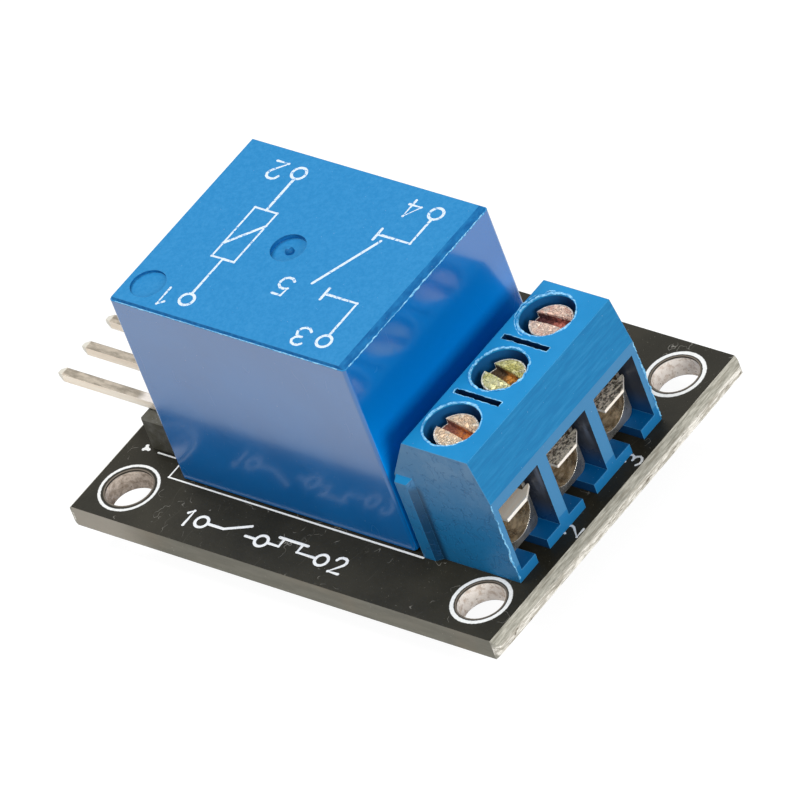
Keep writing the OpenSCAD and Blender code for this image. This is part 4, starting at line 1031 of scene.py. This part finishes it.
def studio_floor():
    """Paper just under the leads, white to the eye, with only a faint shadow."""
    z = min(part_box(n)[0].z for n in ("terminal_cage_1", "coil_pin_1"))
    size = 2.5
    mesh = bpy.data.meshes.new("studio_floor")
    mesh.from_pydata(
        [(-size, -size, z), (size, -size, z), (size, size, z), (-size, size, z)], [], [(0, 1, 2, 3)]
    )
    floor = bpy.data.objects.new("studio_floor", mesh)
    bpy.context.scene.collection.objects.link(floor)
    p = Paint("floor_paper", Roughness=0.9, Specular_IOR_Level=0.1, Emission_Strength=0.93)
    fibre = p.clouds(0.6, 4.0, 0.6) * 0.02
    seen = p.rays()
    p.set(Base_Color=p.mix(seen, (0.62, 0.62, 0.62), p.mix(fibre, (0.16,) * 3, (0.2,) * 3)))
    p.set(Emission_Color=p.mix(seen, (0.0, 0.0, 0.0), (1.0, 1.0, 1.0)))
    mesh.materials.append(p.material)


def studio_world():
    """White where it is seen, dimmer as a lamp."""
    world = bpy.data.worlds.new("studio_air")
    bpy.context.scene.world = world
    world.use_nodes = True
    g = Graph(world.node_tree)
    dim = g.node("ShaderNodeBackground", sockets=[(0.95, 0.97, 1.0), 0.4])
    bright = g.node("ShaderNodeBackground", sockets=[(1.0, 1.0, 1.0), 1.0])
    air = g.node("ShaderNodeMixShader", sockets=[g.rays(), dim, bright])
    g.node("ShaderNodeOutputWorld", sockets=[air])


def camera():
    """A long lens that looks down on the terminal block's corner. Lengths in mm."""
    azimuth, elevation, roll = 0.895537, 0.697309, -0.377403
    forward = Vector((
        -math.sin(azimuth) * math.cos(elevation),
        math.cos(azimuth) * math.cos(elevation),
        -math.sin(elevation),
    ))
    right = Vector((math.cos(azimuth), math.sin(azimuth), 0))
    up = right.cross(forward)
    target, distance, sideways, down = Vector((0, 0, 5)), 767.281, 0.67045, 0.76952
    place = target - forward * distance + right * sideways - up * down
    c, s = math.cos(roll), math.sin(roll)
    across, upright = right * c + up * s, up * c - right * s
    data = bpy.data.cameras.new("studio_camera")
    data.lens, data.sensor_width = 554.456, 36.0
    data.clip_start, data.clip_end = 0.05, 20
    obj = bpy.data.objects.new("studio_camera", data)
    turn = Matrix((across, upright, -forward)).transposed()
    obj.matrix_world = Matrix.Translation(place * MM) @ turn.to_4x4()
    bpy.context.scene.collection.objects.link(obj)
    bpy.context.scene.camera = obj


# ---------- the module ----------

laminate_paint()
case_paint()
block_paint()
flash_plastic = torn_paint()
screw_plates = [
    screw_paint(1, (1.0, 0.78, 0.53), (0.95, 0.6, 0.36), (0.9, 0.3, 0.08), (0.34, 0.12, 0.08)),
    screw_paint(2, (0.95, 0.9, 0.48), (0.62, 0.55, 0.16), (0.85, 0.36, 0.06), (0.1, 0.06, 0.03)),
    screw_paint(3, (1.0, 0.73, 0.57), (0.92, 0.48, 0.35), (0.8, 0.26, 0.18), (0.12, 0.035, 0.035)),
]
cage_paint()
pressure_plate_paint()
pin_paint()
winding_paint()
plain_plastic("header_plastic", (0.06, 0.056, 0.038), 0.5, 0.17, "header_body")
plain_plastic("package_epoxy", (0.02, 0.02, 0.021), 0.5, 0.04, "diode_body", "transistor_body")
plain_plastic("sealing_resin", (0.016, 0.016, 0.018), 0.4, 0.02, "relay_seal")
plain_plastic("base_plastic", (0.003, 0.12, 0.38), 0.3, 0.02, "relay_base")
plain_plastic("bobbin_plastic", (0.78, 0.74, 0.64), 0.45, 0.03, "coil_bobbin")
plain_plastic("resistor_glaze", (0.02, 0.02, 0.022), 0.3, 0.03, "base_resistor", "led_resistor")
plain_plastic("led_resin", (0.62, 0.05, 0.03), 0.16, 0.02, "status_led")
plain_metal("relay_iron", (0.6, 0.6, 0.6), 0.3, "coil_core", "relay_yoke", "relay_armature")
plain_metal("spring_copper", (0.82, 0.46, 0.24), 0.25, "contact_spring", stretch=(0.1, 2, 1))
plain_metal("contact_silver", (0.9, 0.88, 0.84), 0.2, "moving_contact", "open_contact",
            "closed_contact")
plain_metal("tinned_strip", (0.8, 0.77, 0.7), 0.25, "common_terminal", "open_terminal",
            "closed_terminal", "coil_pin_1", "coil_pin_2", stretch=(1, 1, 0.1))
plain_metal("tin_plate", (0.82, 0.81, 0.78), 0.25, "diode_tabs", "transistor_leads", "chip_ends")
solder = plain_metal("bright_solder", (0.86, 0.87, 0.88), 0.14, depth=0.05)

printing = ink_tree()
board_marks(printing, ink_paint("board_ink", (0.88, 0.88, 0.86), (0.45, 0.44, 0.42), 0.0))
case_marks(printing, ink_paint("case_ink", (0.7, 0.8, 0.9), (0.06, 0.3, 0.6), 0.06))

tearing = torn_tree()
block_flash(tearing, flash_plastic)
case_flash(tearing, flash_plastic)
for pole in POLES:
    screw_thread(pole, screw_plates[pole - 1])
# each joint: place, radius, height, and radius of the lead in it
cage_pin_x = SCREW_X - 0.35
solder_fillets("relay_fillets", "relay_solder",
               [(x, y, 1.15, 1.15, 0.52) for x, y in RELAY_LEADS], solder, 11)
solder_fillets("terminal_fillets", "terminal_solder",
               [(cage_pin_x, y, 1.4, 1.3, 0.62) for y in POLE_Y], solder, 12)
solder_fillets("header_fillets", "header_solder",
               [(HEADER_X, y, 0.9, 0.9, 0.44) for y in HEADER_Y], solder, 13)
chip_fillets(solder)

studio_floor()
studio_world()
light("key_light", (-0.3, -0.02, 0.8), 5.2, 0.5, 0.5)
light("fill_light", (0.85, -0.25, 0.3), 5.2, 0.5, 0.4)
camera()

bpy.context.scene.view_settings.view_transform = "Standard"
